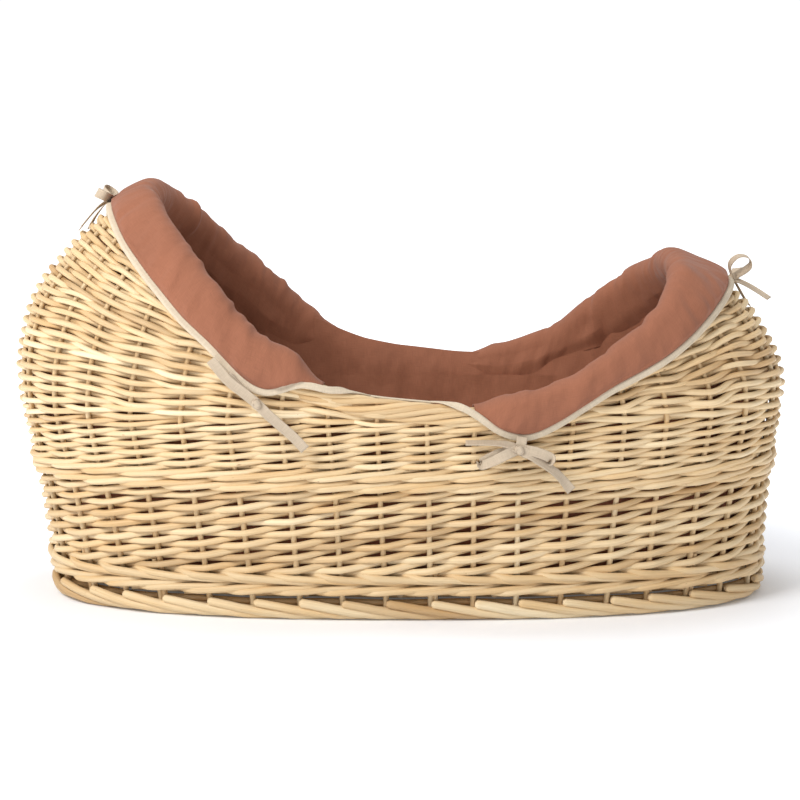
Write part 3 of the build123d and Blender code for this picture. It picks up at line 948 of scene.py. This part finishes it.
def padded_wall(name, node, share, low, high, closed=False, finished_top=True):
    """Padded lining between two heights along shares of the way round: folded inside, plain at the back."""
    up = np.linspace(0, 1, 46)
    z = low[:, None] + (high - low)[:, None] * up
    around = np.broadcast_to(share[:, None], z.shape)
    plump = np.ones(z.shape)
    if finished_top:
        below = (1 - up) * (high - low)[:, None]
        plump = 1 - (1 - np.clip(below / LINER_SHOULDER, 0, 1)) ** 2.4
    edge = LINER_BACK + LINER_EDGE
    inner = -(edge + (LINER_DEPTH - edge) * plump)
    inside, _ = POD.at(around, z, inner - liner_folds(around, z) * plump)
    outside, _ = POD.at(around, z, -LINER_BACK)
    grid = np.concatenate([inside, outside[:, ::-1]], axis=1)
    piece = grid_mesh(name, grid, MATERIALS["liner"], closed_u=closed, crease=LINER_CREASE)
    put(piece, "liner_cotton", node)


def between_cuffs(x):
    """1 where the rim is bare between the two cuffs, easing to 0 under each of them."""
    return smoothstep((x - HEAD_END + 0.05) / 0.03) * smoothstep((FOOT_END + 0.05 - x) / 0.03)


def hood_linings():
    """Linings of the two hoods, which meet in a seam on each long side."""
    count = 420
    share = np.arange(count) / count
    loop = mouth_curve(RIM, 640)
    round_it = share_of(loop)
    order = np.argsort(round_it)
    rim_height = np.interp(share, round_it[order], loop[order, 2], period=1.0)
    seam = float(share_of(np.array([[SEAM_X, half_width(SEAM_X, WALL_TOP), WALL_TOP]]))[0])
    for end, first, last, steps in (("head", seam, 1 - seam, 300), ("foot", -seam, seam, 220)):
        around = np.linspace(first, last, steps)
        top = np.interp(np.mod(around, 1), share, rim_height, period=1.0)
        places, _ = POD.at(around, top)
        bare = between_cuffs(places[:, 0])
        rise = np.where(places[:, 1] > 0, back_rise(places[:, 0]), FRONT_RISE) * bare + 0.001 * (1 - bare)
        rise = rise + 0.0012 * lattice_noise(around * 40, np.zeros(steps) + 3.3, 17) * bare
        padded_wall(f"{end}_hood_cotton", f"{end}_hood_lining", around, np.full(steps, WALL_TOP), top + rise)


def floor_pad():
    """Thin lined pad under the mattress, slightly uneven on top."""
    low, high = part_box("liner_floor")
    turn = np.linspace(0, 1, 240, endpoint=False)
    rings = np.linspace(1, 0.002, 34)[:, None]
    edge, _ = POD.at(turn, FLOOR_TOP, -LINER_BACK - 0.0005)
    centre = (low + high) / 2
    x = centre.x + (edge[:, 0] - centre.x) * rings
    top = np.stack([x, edge[:, 1] * rings, np.full(x.shape, high.z - 0.0008)], -1)
    top[..., 2] += 0.0007 * lattice_noise(x / 0.03, top[..., 1] / 0.03, 21) - 0.0010 * (rings > 0.99)
    bottom = top.copy()
    bottom[..., 2] = low.z
    piece = grid_mesh("liner_floor_cotton", np.concatenate([top[::-1], bottom]), MATERIALS["liner"])
    put(piece, "liner_cotton", "liner_floor")


def linings():
    """The wall lining, the linings of the two hoods above it and the floor pad."""
    count = 420
    share, low, high = np.arange(count) / count, np.full(count, FLOOR_TOP + 0.0005), np.full(count, WALL_TOP)
    padded_wall("liner_wall_cotton", "liner_wall", share, low, high, closed=True, finished_top=False)
    hood_linings()
    floor_pad()


def back_rise(x):
    """How far the liner stands above the rim along the back."""
    return np.interp(x / MM, *zip(*BACK_TOP)) * MM


class Cuff:
    """One hood's fold-over: the rim it rolls over and the edge it reaches on the outside."""

    def __init__(self, edge_line, edge_lift, crest, low_x=None, high_x=None, count=300):
        self.rim = relaxed(mouth_curve(RIM, count, low_x, high_x), 6, closed=False)
        xs = np.linspace(edge_line[0][0], edge_line[-1][0], 400)
        lift = np.interp(xs, *zip(*edge_lift))[:, None] * MM
        edge = mouth_curve(line_curve(edge_line, lift), count, low_x, high_x)
        self.edge = relaxed(edge, 6, closed=False)
        over = self.edge[:, 2] > self.rim[:, 2] - 0.002
        self.edge[over] = self.rim[over] - 0.002 * UP
        front, back = (np.interp(self.rim[:, 0] / MM, *zip(*points)) * MM for points in crest)
        self.extra = relaxed(np.where(self.rim[:, 1] < 0, front, back)[:, None], 60, closed=False)[:, 0]
        self.back = smoothstep(self.rim[:, 1] / 0.05 + 0.5)
        self.rim_share = unwrapped(share_of(self.rim))
        self.edge_share = unwrapped(share_of(self.edge))
        self.edge_share += np.round(self.rim_share[count // 2] - self.edge_share[count // 2])
        self.along = lengths(self.rim)
        self.end = np.minimum(self.along, self.along[-1] - self.along)
        drop = np.linalg.norm(self.edge - self.rim, axis=1)
        self.reach = np.where(self.edge[:, 2] < self.rim[:, 2], drop, 0)

    def place(self, i, a, b):
        """Point of section i at distance a below the rim along the wall and b out from it."""
        length = np.maximum(self.reach[i], 0.002)
        share = self.rim_share[i] + (self.edge_share[i] - self.rim_share[i]) * np.clip(a / length, 0, 1.3)
        z = self.rim[i, 2] + (self.edge[i, 2] - self.rim[i, 2]) * np.clip(a / length, 0, 1.3)
        points, normals = POD.at(share, z, b)
        lift = np.maximum(-a, 0)
        up = unit(self.rim[i] - self.edge[i] + 0.001 * UP)
        steady_up = smoothstep(self.reach[i] / 0.02)[..., None]
        up = unit(up * steady_up + UP * (1 - steady_up))
        return points + up * lift[..., None]

    def inside(self, i, a, b):
        """The same on the inner side, where the wall runs straight down from the rim."""
        drop = np.maximum(self.reach[i], 0.03)
        share = self.rim_share[i] + (self.edge_share[i] - self.rim_share[i]) * np.clip(a / drop, 0, 1)
        slope = np.clip((self.rim[i, 2] - self.edge[i, 2]) / drop, 0.45, 1)
        points, _ = POD.at(share, self.rim[i, 2] - a * slope, b)
        return points


def cuff_grid(fold, ease, seed):
    """Closed section at every place along the fold, and the widths of its stretches.

    The section runs up the inside, over the crest, down the flap, and back under the flap and the crest.
    """
    n = len(fold.rim)
    i = np.arange(n)[:, None]
    low_back = back_rise(fold.rim[:, 0]) - 0.0025
    low_rise = 0.0018 + (low_back - 0.0018)[:, None] * fold.back[:, None]
    wave = lattice_noise(fold.along / 0.034, np.zeros(n) + 0.5, seed)[:, None]
    rise = low_rise + (CUFF_RISE - low_rise + fold.extra[:, None] + 0.0030 * wave) * ease
    apex = smoothstep((fold.rim[:, 0] - 0.29) / 0.07)[:, None]
    out = CUFF_BACK + CUFF_END + (CUFF_OUT - CUFF_BACK - CUFF_END) * ease * (1 - 0.7 * apex)
    sunk = 0.0045 * (1 - smoothstep(fold.end / 0.065)[:, None])
    folds = liner_folds(np.mod(fold.rim_share, 1), fold.rim[:, 2])[:, None]
    t = np.linspace(0, 1, 16)[None]
    fill = LINER_DEPTH - CUFF_TUCK_DEPTH + 0.0012 * ease - sunk
    inner = CUFF_TUCK_DEPTH + fill * smoothstep(t / 0.9)
    inside = fold.inside(i, CUFF_TUCK + (0.006 - CUFF_TUCK) * t, -inner - folds)
    turn = np.linspace(0.06, 1, 22)[None] * np.pi
    deep = LINER_DEPTH - sunk
    crest = fold.place(i, CUFF_TOP - (rise + CUFF_TOP) * np.sin(turn) ** 0.8,
                       (out - deep) / 2 - (out + deep) / 2 * np.cos(turn))
    t = np.linspace(0.06, 1, 24)[None]
    reach = np.maximum(fold.reach[:, None], 0.0050)
    thin = CUFF_BACK + FLAP_EDGE
    flap = fold.place(i, CUFF_TOP + (reach - CUFF_TOP) * t,
                      thin + (out - thin) * np.sqrt(np.clip(1 - t ** 2.6, 0, 1)))
    under = fold.place(i, reach * np.linspace(1, 0, 6)[None], CUFF_BACK)
    turn = np.linspace(1, 0, 7)[None] * np.pi
    under_crest = fold.place(i, -np.minimum(0.0022, rise - 0.0014) * np.sin(turn),
                             -0.0002 - CUFF_BACK * np.cos(turn))
    back = fold.inside(i, 0.042 * np.linspace(0.2, 1, 5)[None], -LINER_BACK - 0.0006)
    stretches = [inside, crest, flap, under, under_crest, back]
    return np.concatenate(stretches, axis=1), [part.shape[1] for part in stretches]


def cuff_puff(fold, grid, widths, seed):
    """How far the padding stands out of the plain section: swells, crumples, puckers and short creases."""
    crest_start = widths[0]
    flap_start = crest_start + widths[1]
    soft_end = flap_start + widths[2] - 3
    column = np.arange(grid.shape[1])
    across = np.zeros(grid.shape[:2])
    across[:, 1:] = np.cumsum(np.linalg.norm(np.diff(grid, axis=1), axis=2), axis=1)
    along = np.broadcast_to(fold.along[:, None], across.shape)
    puff = SWELL * lattice_noise(along / 0.050, across / 0.050, seed + 1)
    puff = puff + CRUMPLE * lattice_noise(along / 0.017 + across / 0.06, across / 0.035, seed + 2)
    pucker = np.clip((column - flap_start + 6) / 26, 0, 1)
    puff = puff + PUCKER * pucker * lattice_noise(along / 0.0075, across / 0.03, seed + 3)
    near_crest = np.exp(-((column - crest_start - 8) / 9.0) ** 2)
    crease = lattice_noise(along / 0.013 + 0.4 * across / 0.02, across / 0.05, seed + 4)
    puff = puff - CREST_DENT * near_crest * np.clip(crease - 0.25, 0, 1)
    for place in np.random.default_rng(seed).uniform(0.10, 0.90, CREASES) * fold.along[-1]:
        bent = place + 0.35 * (across - across.mean()) * np.sin(place * 90)
        puff = puff - CREASE_DEPTH * near_crest * np.exp(-((along - bent) / 0.0052) ** 2)
    return puff * (smoothstep((column - 10) / 10) * smoothstep((soft_end - column) / 3))


def cuff(name, node, fold, seed):
    """The padded fold: up the inside, over the rim and down the outside to the bound edge."""
    ease = smoothstep(fold.end / 0.036)[:, None]
    grid, widths = cuff_grid(fold, ease, seed)
    puff = cuff_puff(fold, grid, widths, seed) * (0.25 + 0.75 * ease)
    grid = grid + outward(grid) * puff[..., None]
    put(grid_mesh(name, grid, MATERIALS["liner"]), "liner_cotton", node)


def smooth_path(points, per_step=12):
    """Evenly flowing curve through given points."""
    p = np.asarray(points, float)
    p = np.concatenate([2 * p[:1] - p[1:2], p, 2 * p[-1:] - p[-2:-1]])
    t = np.linspace(0, 1, per_step, endpoint=False)[:, None]
    out = []
    for a, b, c, d in zip(p, p[1:], p[2:], p[3:]):
        out.append(0.5 * (2 * b + (c - a) * t + (2 * a - 5 * b + 4 * c - d) * t ** 2
                          + (3 * b - a - 3 * c + d) * t ** 3))
    out.append(p[-2:-1])
    return np.concatenate(out)


def strip(name, path, facing, outline, material, thick=1.0, closed=False):
    """Strip of one section along a path: outline holds (across, out) points and facing the outward side."""
    tangent = unit(np.gradient(path, axis=0))
    facing = np.broadcast_to(facing, path.shape)
    out = unit(facing - (facing * tangent).sum(-1, keepdims=True) * tangent)
    across = np.cross(tangent, out)
    thick = np.broadcast_to(np.ravel(thick), len(path))[:, None, None]
    wide, high = np.asarray(outline)[None, :, :1], np.asarray(outline)[None, :, 1:]
    grid = path[:, None] + across[:, None] * wide + out[:, None] * high * thick
    return grid_mesh(name, grid, material, closed_u=closed)


def binding_outline(width, thick, seam):
    """Half-round folded tape with a stitched groove near the cuff side."""
    turn = turns(20)
    across = width / 2 * np.sign(np.cos(turn)) * np.abs(np.cos(turn)) ** 0.7
    out = thick / 2 * np.sign(np.sin(turn)) * np.abs(np.sin(turn)) ** 0.8
    groove = np.exp(-((across - seam) / (0.09 * width)) ** 2)
    out = np.where(out > 0, out * (1 - 0.5 * groove), out)
    return np.stack([across, out], -1)


def wall_points(side, x, z, b):
    """Points beside the wall at given x and z on one side of the basket, b out from its middle."""
    points = np.stack([x, side * half_width(x, np.minimum(z, POD_TOP)), z], -1)
    return points + surface_frame(points) * np.asarray(b)[:, None]


# The tape's way over the rim at each end of a cuff: how far past the cuff, and how high over the rim's top
# and how far out of the wall's middle it is there
CROSSING = np.array([0.004, 0.014, 0.024, 0.034, 0.046])
FRONT_CROSSING = ([-0.0030, 0.0002, 0.0014, 0.0008, -0.0018], [0.0120, 0.0094, 0.0045, -0.0030, -0.0108])
BACK_CROSSING = ([-0.0026, 0.0006, 0.0022, 0.0028, 0.0022], [0.0120, 0.0094, 0.0050, -0.0005, -0.0062])


def binding(name, node, fold, end_x):
    """Cream tape along the cuff's edge, which crosses over the rim at both ends to its inner side."""
    toward = -np.sign(end_x)
    keep = np.nonzero((fold.edge[:, 0] - end_x) * toward < -0.012)[0][::3]
    near_end = 1 - smoothstep(fold.reach[keep] / 0.02)
    points, _ = POD.at(fold.edge_share[keep], fold.edge[keep, 2], CUFF_BACK + 0.0027 + 0.0025 * near_end)
    points = points + 0.0034 * unit(fold.edge[keep] - fold.rim[keep])
    steps = end_x + toward * CROSSING
    front, back = (wall_points(side, steps, line_height(RIM, steps) + rise, out)
                   for side, (rise, out) in ((-1, FRONT_CROSSING), (1, BACK_CROSSING)))
    path = relaxed(smooth_path(np.concatenate([front[::-1], points, back]), 5), 8, closed=False)
    over = smoothstep(((path[:, 0] - end_x) * toward - CROSSING[0]) / 0.032)[:, None]
    facing = unit(surface_frame(path) * (1 - over) + UP * over)
    piece = strip(name, path, facing, binding_outline(0.0074, 0.0044, 0.0018), MATERIALS["binding"],
                  thick=1 - 0.5 * over)
    put(piece, "binding_cotton", node)


def side_bindings():
    """Narrow tape along the liner's top edge between the cuffs, front and back."""
    x = np.linspace(HEAD_END + 0.042, FOOT_END - 0.042, 50)
    for side, name, (rise, out) in ((-1, "front", FRONT_CROSSING), (1, "back", BACK_CROSSING)):
        path = wall_points(side, x, line_height(RIM, x) + rise[-1], np.full(len(x), out[-1]))
        piece = strip(f"{name}_side_binding_tape", path, UP, binding_outline(0.0068, 0.0022, 0.0),
                      MATERIALS["binding"])
        put(piece, "binding_cotton")
    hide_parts("side_binding")


# ---------------------------------------------------------------- ties
TAPE_WIDTH = 0.0105
TAPE_THICKNESS = 0.0011
KNOT_SIZE = 0.0070
FRONT = (0, -1, 0)
HALF_UP = (0, -0.75, 0.66)


def tape_outline():
    """Flat folded tape with slightly raised stitched edges."""
    w, t = TAPE_WIDTH / 2, TAPE_THICKNESS / 2
    return [(-w, -t * 0.8), (-w, t), (-w * 0.8, t * 1.1), (-w * 0.68, t * 0.7), (0, t * 0.9),
            (w * 0.68, t * 0.7), (w * 0.8, t * 1.1), (w, t), (w, -t * 0.8), (0, -t * 0.9)]


def tape(name, points, facings):
    """Tape through given points, turning from facing to facing."""
    path = smooth_path(points, 10)
    t = np.linspace(0, 1, len(path))
    keys = np.linspace(0, 1, len(facings))
    facing = unit(np.stack([np.interp(t, keys, [f[k] for f in facings]) for k in range(3)], -1))
    return strip(name, path, facing, tape_outline(), MATERIALS["tape"]), lengths(path)[-1]


def knot(name, centre, axis):
    """Small knot: two flat turns of tape pulled tight round each other."""
    centre, axis = np.array(centre), unit(np.array(axis, float))
    side = unit(np.cross(axis, [0.13, 0.2, 1.0]))
    third = np.cross(axis, side)
    turn = turns(40)
    lobes = 1 + 0.16 * np.cos(3 * turn + 0.5)
    path = centre + (np.cos(turn) * lobes)[:, None] * side * KNOT_SIZE * 0.40 \
        + (np.sin(turn) * lobes)[:, None] * axis * KNOT_SIZE * 0.34 \
        + (0.22 * KNOT_SIZE * np.sin(2 * turn))[:, None] * third
    outline = circle(12) * (0.62 * KNOT_SIZE, 0.30 * KNOT_SIZE)
    return strip(name, path, unit(path - centre), outline, MATERIALS["tape"], closed=True)


def tie(name, node, runs, knot_at, axis, mirror=False, shift=(0, 0, 0)):
    """A tie of one tape: its visible runs, and the knot that they meet in.

    A run is its listed points, in millimetres, and the directions that the tape's face turns through.
    """
    flip = np.array([1, -1, 1]) if mirror else np.array([1, 1, 1])
    pieces, total = [], 0
    for k, (points, facings) in enumerate(runs):
        places = (np.array(points) + shift) * flip * MM
        piece, length = tape(f"{name}_run_{k + 1}", places, np.array(facings) * flip)
        pieces.append(piece)
        total += length
    pieces.append(knot(f"{name}_knot", (np.array(knot_at) + shift) * flip * MM, np.array(axis) * flip))
    bpy.ops.object.select_all(action="DESELECT")
    for piece in pieces:
        piece.select_set(True)
    bpy.context.view_layer.objects.active = pieces[0]
    bpy.ops.object.join()
    whole = bpy.context.view_layer.objects.active
    whole.name = name
    put(whole, "tie_tape", node)


def ties():
    """Two bows on each side and one on each hood."""
    head_side = dict(
        runs=[([(-193, -206, 282), (-176, -210, 262), (-160, -211, 249), (-146, -212, 238)],
               [(0, -1, 0.3), (0.1, -1, 0.2), FRONT]),
              ([(-176, -208, 266), (-163, -207, 252), (-146, -211, 237)],
               [(0.4, -0.9, 0), (0.5, -0.8, 0), FRONT]),
              ([(-146, -213, 238), (-134, -214, 226), (-121, -212, 214), (-108, -211, 202),
                (-97, -211, 190)],
               [(0.3, -0.9, 0), FRONT, (-0.1, -1, 0.05), FRONT])],
        knot_at=(-146, -213, 237), axis=(0, -1, 0))
    foot_side = dict(
        runs=[([(125, -210, 203), (124, -213, 197), (122, -214, 191)], [FRONT, FRONT]),
              ([(121, -215, 191), (108, -214, 196), (92, -212, 197), (67, -211, 197)],
               [HALF_UP, (0, -0.35, 0.94), (0, -0.3, 0.95)]),
              ([(121, -214, 191), (108, -220, 186), (92, -219, 178), (82, -214, 174), (86, -210, 178),
                (104, -210, 187), (121, -211, 190)],
               [FRONT, (0, -0.9, 0.4), (0, -0.8, 0.6), (0.6, -0.5, 0.3), (0, 0.9, 0.4), (0, 0.9, 0.4),
                FRONT]),
              ([(122, -213, 191), (140, -216, 188), (154, -216, 182), (152, -211, 177), (138, -210, 181),
                (124, -210, 189)],
               [FRONT, (0, -0.9, 0.4), (-0.6, -0.5, 0.3), (0, 0.9, 0.4), FRONT]),
              ([(123, -215, 190), (134, -216, 185), (147, -215, 176), (160, -213, 166), (169, -211, 156),
                (176, -210, 147)],
               [FRONT, (0.4, -0.8, 0.3), (0.75, -0.6, 0.3), (0.55, -0.8, 0.3), (0.3, -0.9, 0)])],
        knot_at=(122, -215, 190), axis=(0, -1, 0))
    for side, mirror in (("front", False), ("back", True)):
        tie(f"{side}_head_tie_tape", f"{side}_head_tie", mirror=mirror, **head_side)
        tie(f"{side}_foot_tie_tape", f"{side}_foot_tie", mirror=mirror, **foot_side)
    tie("head_tie_tape", "head_tie",
        runs=[([(-312, 0, 433), (-320, 0, 438), (-326, 0, 438)], [(-0.7, 0, 0.7), (-0.7, 0, 0.7)]),
              ([(-326, 0, 438), (-335, 15, 446), (-334, 30, 448), (-326, 31, 443), (-322, 17, 440),
                (-325, 2, 438)],
               [(-0.7, 0, 0.7), (-0.8, 0.4, 0.4), (0, 0.9, 0.2), (0.7, 0.4, -0.5), (0.7, 0, -0.7)]),
              ([(-326, 0, 438), (-335, -15, 445), (-335, -29, 446), (-326, -31, 442), (-323, -17, 439),
                (-325, -2, 438)],
               [(-0.7, 0, 0.7), (-0.8, -0.4, 0.4), (0, -0.9, 0.2), (0.7, -0.4, -0.5), (0.7, 0, -0.7)]),
              ([(-326, 2, 437), (-336, 12, 428), (-346, 20, 416), (-353, 28, 405)],
               [(-0.8, 0, 0.6), (-0.8, 0.1, 0.5)]),
              ([(-326, -2, 437), (-337, -12, 429), (-347, -22, 417), (-354, -33, 407)],
               [(-0.8, 0, 0.6), (-0.8, -0.1, 0.5)])],
        knot_at=(-326, 0, 438), axis=(-0.75, 0, 0.66), shift=(3, 0, -1))
    tie("foot_tie_tape", "foot_tie",
        runs=[([(358, 0, 344), (366, 0, 348), (372, 0, 349)], [(0.7, 0, 0.7), (0.7, 0, 0.7)]),
              ([(372, 0, 349), (367, -8, 364), (375, -14, 374), (386, -14, 373), (389, -10, 363),
                (373, 0, 350)],
               [(-0.9, -0.3, 0), (-0.9, -0.2, 0.2), (0, -0.2, 0.95), (0.9, 0, 0.2), (0.9, 0.3, -0.3)]),
              ([(372, 0, 349), (378, 14, 357), (382, 28, 357), (384, 30, 348), (378, 14, 346),
                (373, 2, 348)],
               [(-0.4, 0, 0.9), (0, 0.5, 0.9), (0.8, 0.5, 0), (0.4, 0, -0.9)]),
              ([(373, 0, 348), (385, -10, 343), (397, -18, 336), (409, -24, 328)],
               [(0.3, -0.5, 0.8), (0.5, -0.5, 0.7)]),
              ([(373, 2, 348), (381, 14, 337), (388, 24, 327), (396, 32, 316)],
               [(0.8, 0, 0.6), (0.8, 0.1, 0.6)])],
        knot_at=(372, 0, 349), axis=(0.75, 0, 0.66))


# ---------------------------------------------------------------- mattress
QUILT_PITCH = 0.052          # of the stitched lines, along X
QUILT_DEPTH = 0.0032
PIPING_RADIUS = 0.0016
PIPING_DROP = 0.0115         # from the mattress's faces to its piping
SHOULDER_DROP = 0.011        # how much lower the padding is at the mattress's edge than in its middle


def mattress_top(outline, half):
    """Rings of the quilted upper face, from the middle outwards."""
    rings = []
    for ring in np.concatenate([np.linspace(0.002, 0.9, 64), [0.93, 0.955, 0.975, 0.99]]):
        x, y = outline[:, 0] * ring * (half.x - 0.002), outline[:, 1] * ring * (half.y - 0.002)
        z = half.z - SHOULDER_DROP + 0.010 * smoothstep((1 - ring) / 0.16)
        one_way = np.abs(np.mod((x + y) / QUILT_PITCH, 1) - 0.5)
        other_way = np.abs(np.mod((x - y) / QUILT_PITCH, 1) - 0.5)
        stitched = np.exp(-(np.minimum(one_way, other_way) / 0.07) ** 2)
        z = z - QUILT_DEPTH * stitched * smoothstep((1 - ring) / 0.05)
        rings.append(np.stack([x, y, z], -1))
    return np.array(rings)


def mattress_side(turn, outline, half):
    """Rings of the slightly bulging side, from the upper piping to the lower."""
    rings = []
    for t in np.linspace(0, 1, 12):
        bulge = 0.9965 + 0.0035 * np.sin(np.pi * t)
        ripple = 0.0005 * np.sin(turn * 60) * np.sin(np.pi * t)
        level = outline * ((np.array(half.xy) - 0.0012) * bulge + ripple[:, None])
        height = np.full((len(turn), 1), (half.z - 0.012) * (1 - 2 * t))
        rings.append(np.concatenate([level, height], axis=1))
    return np.array(rings)


def mattress():
    """Quilted cotton cover over the foam core, with piping along both edges."""
    low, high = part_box("mattress_cover")
    centre, half = (low + high) / 2, (high - low) / 2
    turn = turns(260)
    outline = oval(turn)
    top = mattress_top(outline, half)
    side = mattress_side(turn, outline, half)
    grid = np.concatenate([top, side, top[::-1] * (1, 1, -1)]) + np.array(centre)
    grid[..., 2] = np.clip(grid[..., 2], low.z, high.z)
    cover = grid_mesh("mattress_cotton", grid, MATERIALS["mattress"])
    put(cover, "mattress_cotton", "mattress_cover", "mattress_core", body="mattress")
    for name, z in (("upper", centre.z + half.z - PIPING_DROP), ("lower", centre.z - half.z + PIPING_DROP)):
        path = np.stack([centre.x + outline[:, 0] * (half.x - 0.0015), outline[:, 1] * (half.y - 0.0015),
                         np.full(len(turn), z)], -1)
        piping = strip(f"mattress_{name}_piping", path, UP, PIPING_RADIUS * circle(8), MATERIALS["binding"],
                       closed=True)
        put(piping, "mattress_cotton", body="mattress")


# ---------------------------------------------------------------- make everything
make_camera()
make_studio()
MATERIALS = {
    "willow": willow_material(),
    "liner": cloth_material("terracotta_cotton", (0.300, 0.117, 0.066), crumple=0.013),
    "binding": cloth_material("cream_binding", (0.62, 0.52, 0.39)),
    "tape": cloth_material("tie_tape", (0.53, 0.43, 0.32)),
    "mattress": cloth_material("cream_cotton", (0.76, 0.71, 0.62)),
}
stakes()
foot_border()
base()
wale("foot_wale_willow", "foot_wale", [(0.0340, 0.0078, 1), (0.0452, 0.0072, -1)], radius=0.0038)
french_rand("lower_wall_willow", "lower_wall_weave", WALE_TOP - 0.002, MIDDLE_BOTTOM + 0.001, spans=14,
            radius=0.0037)
wale("middle_wale_willow", "middle_wale", [(0.1480, 0.0088, 1), (0.1597, 0.0088, 1)], radius=0.0035)
french_rand("upper_wall_willow", "upper_wall_weave", MIDDLE_TOP - 0.002, WALL_TOP - 0.001, spans=10,
            radius=0.0030)
hood("head_hood_willow", "head_hood_weave", STAKES / 2 - 0.5, fan_x=0.02, pitch=0.0062, radius=0.0033)
hood("foot_hood_willow", "foot_hood_weave", -0.5, fan_x=0.13, pitch=0.0060, radius=0.0032)
rim_border()
linings()
head_fold = Cuff(HEAD_CUFF_LINE, HEAD_EDGE_LIFT, HEAD_CREST, high_x=HEAD_END)
foot_fold = Cuff(FOOT_CUFF_LINE, FOOT_EDGE_LIFT, FOOT_CREST, low_x=FOOT_END, count=260)
cuff("head_cuff_cotton", "head_cuff", head_fold, seed=31)
cuff("foot_cuff_cotton", "foot_cuff", foot_fold, seed=41)
binding("head_binding_tape", "head_binding", head_fold, HEAD_END)
binding("foot_binding_tape", "foot_binding", foot_fold, FOOT_END)
side_bindings()
ties()
mattress()
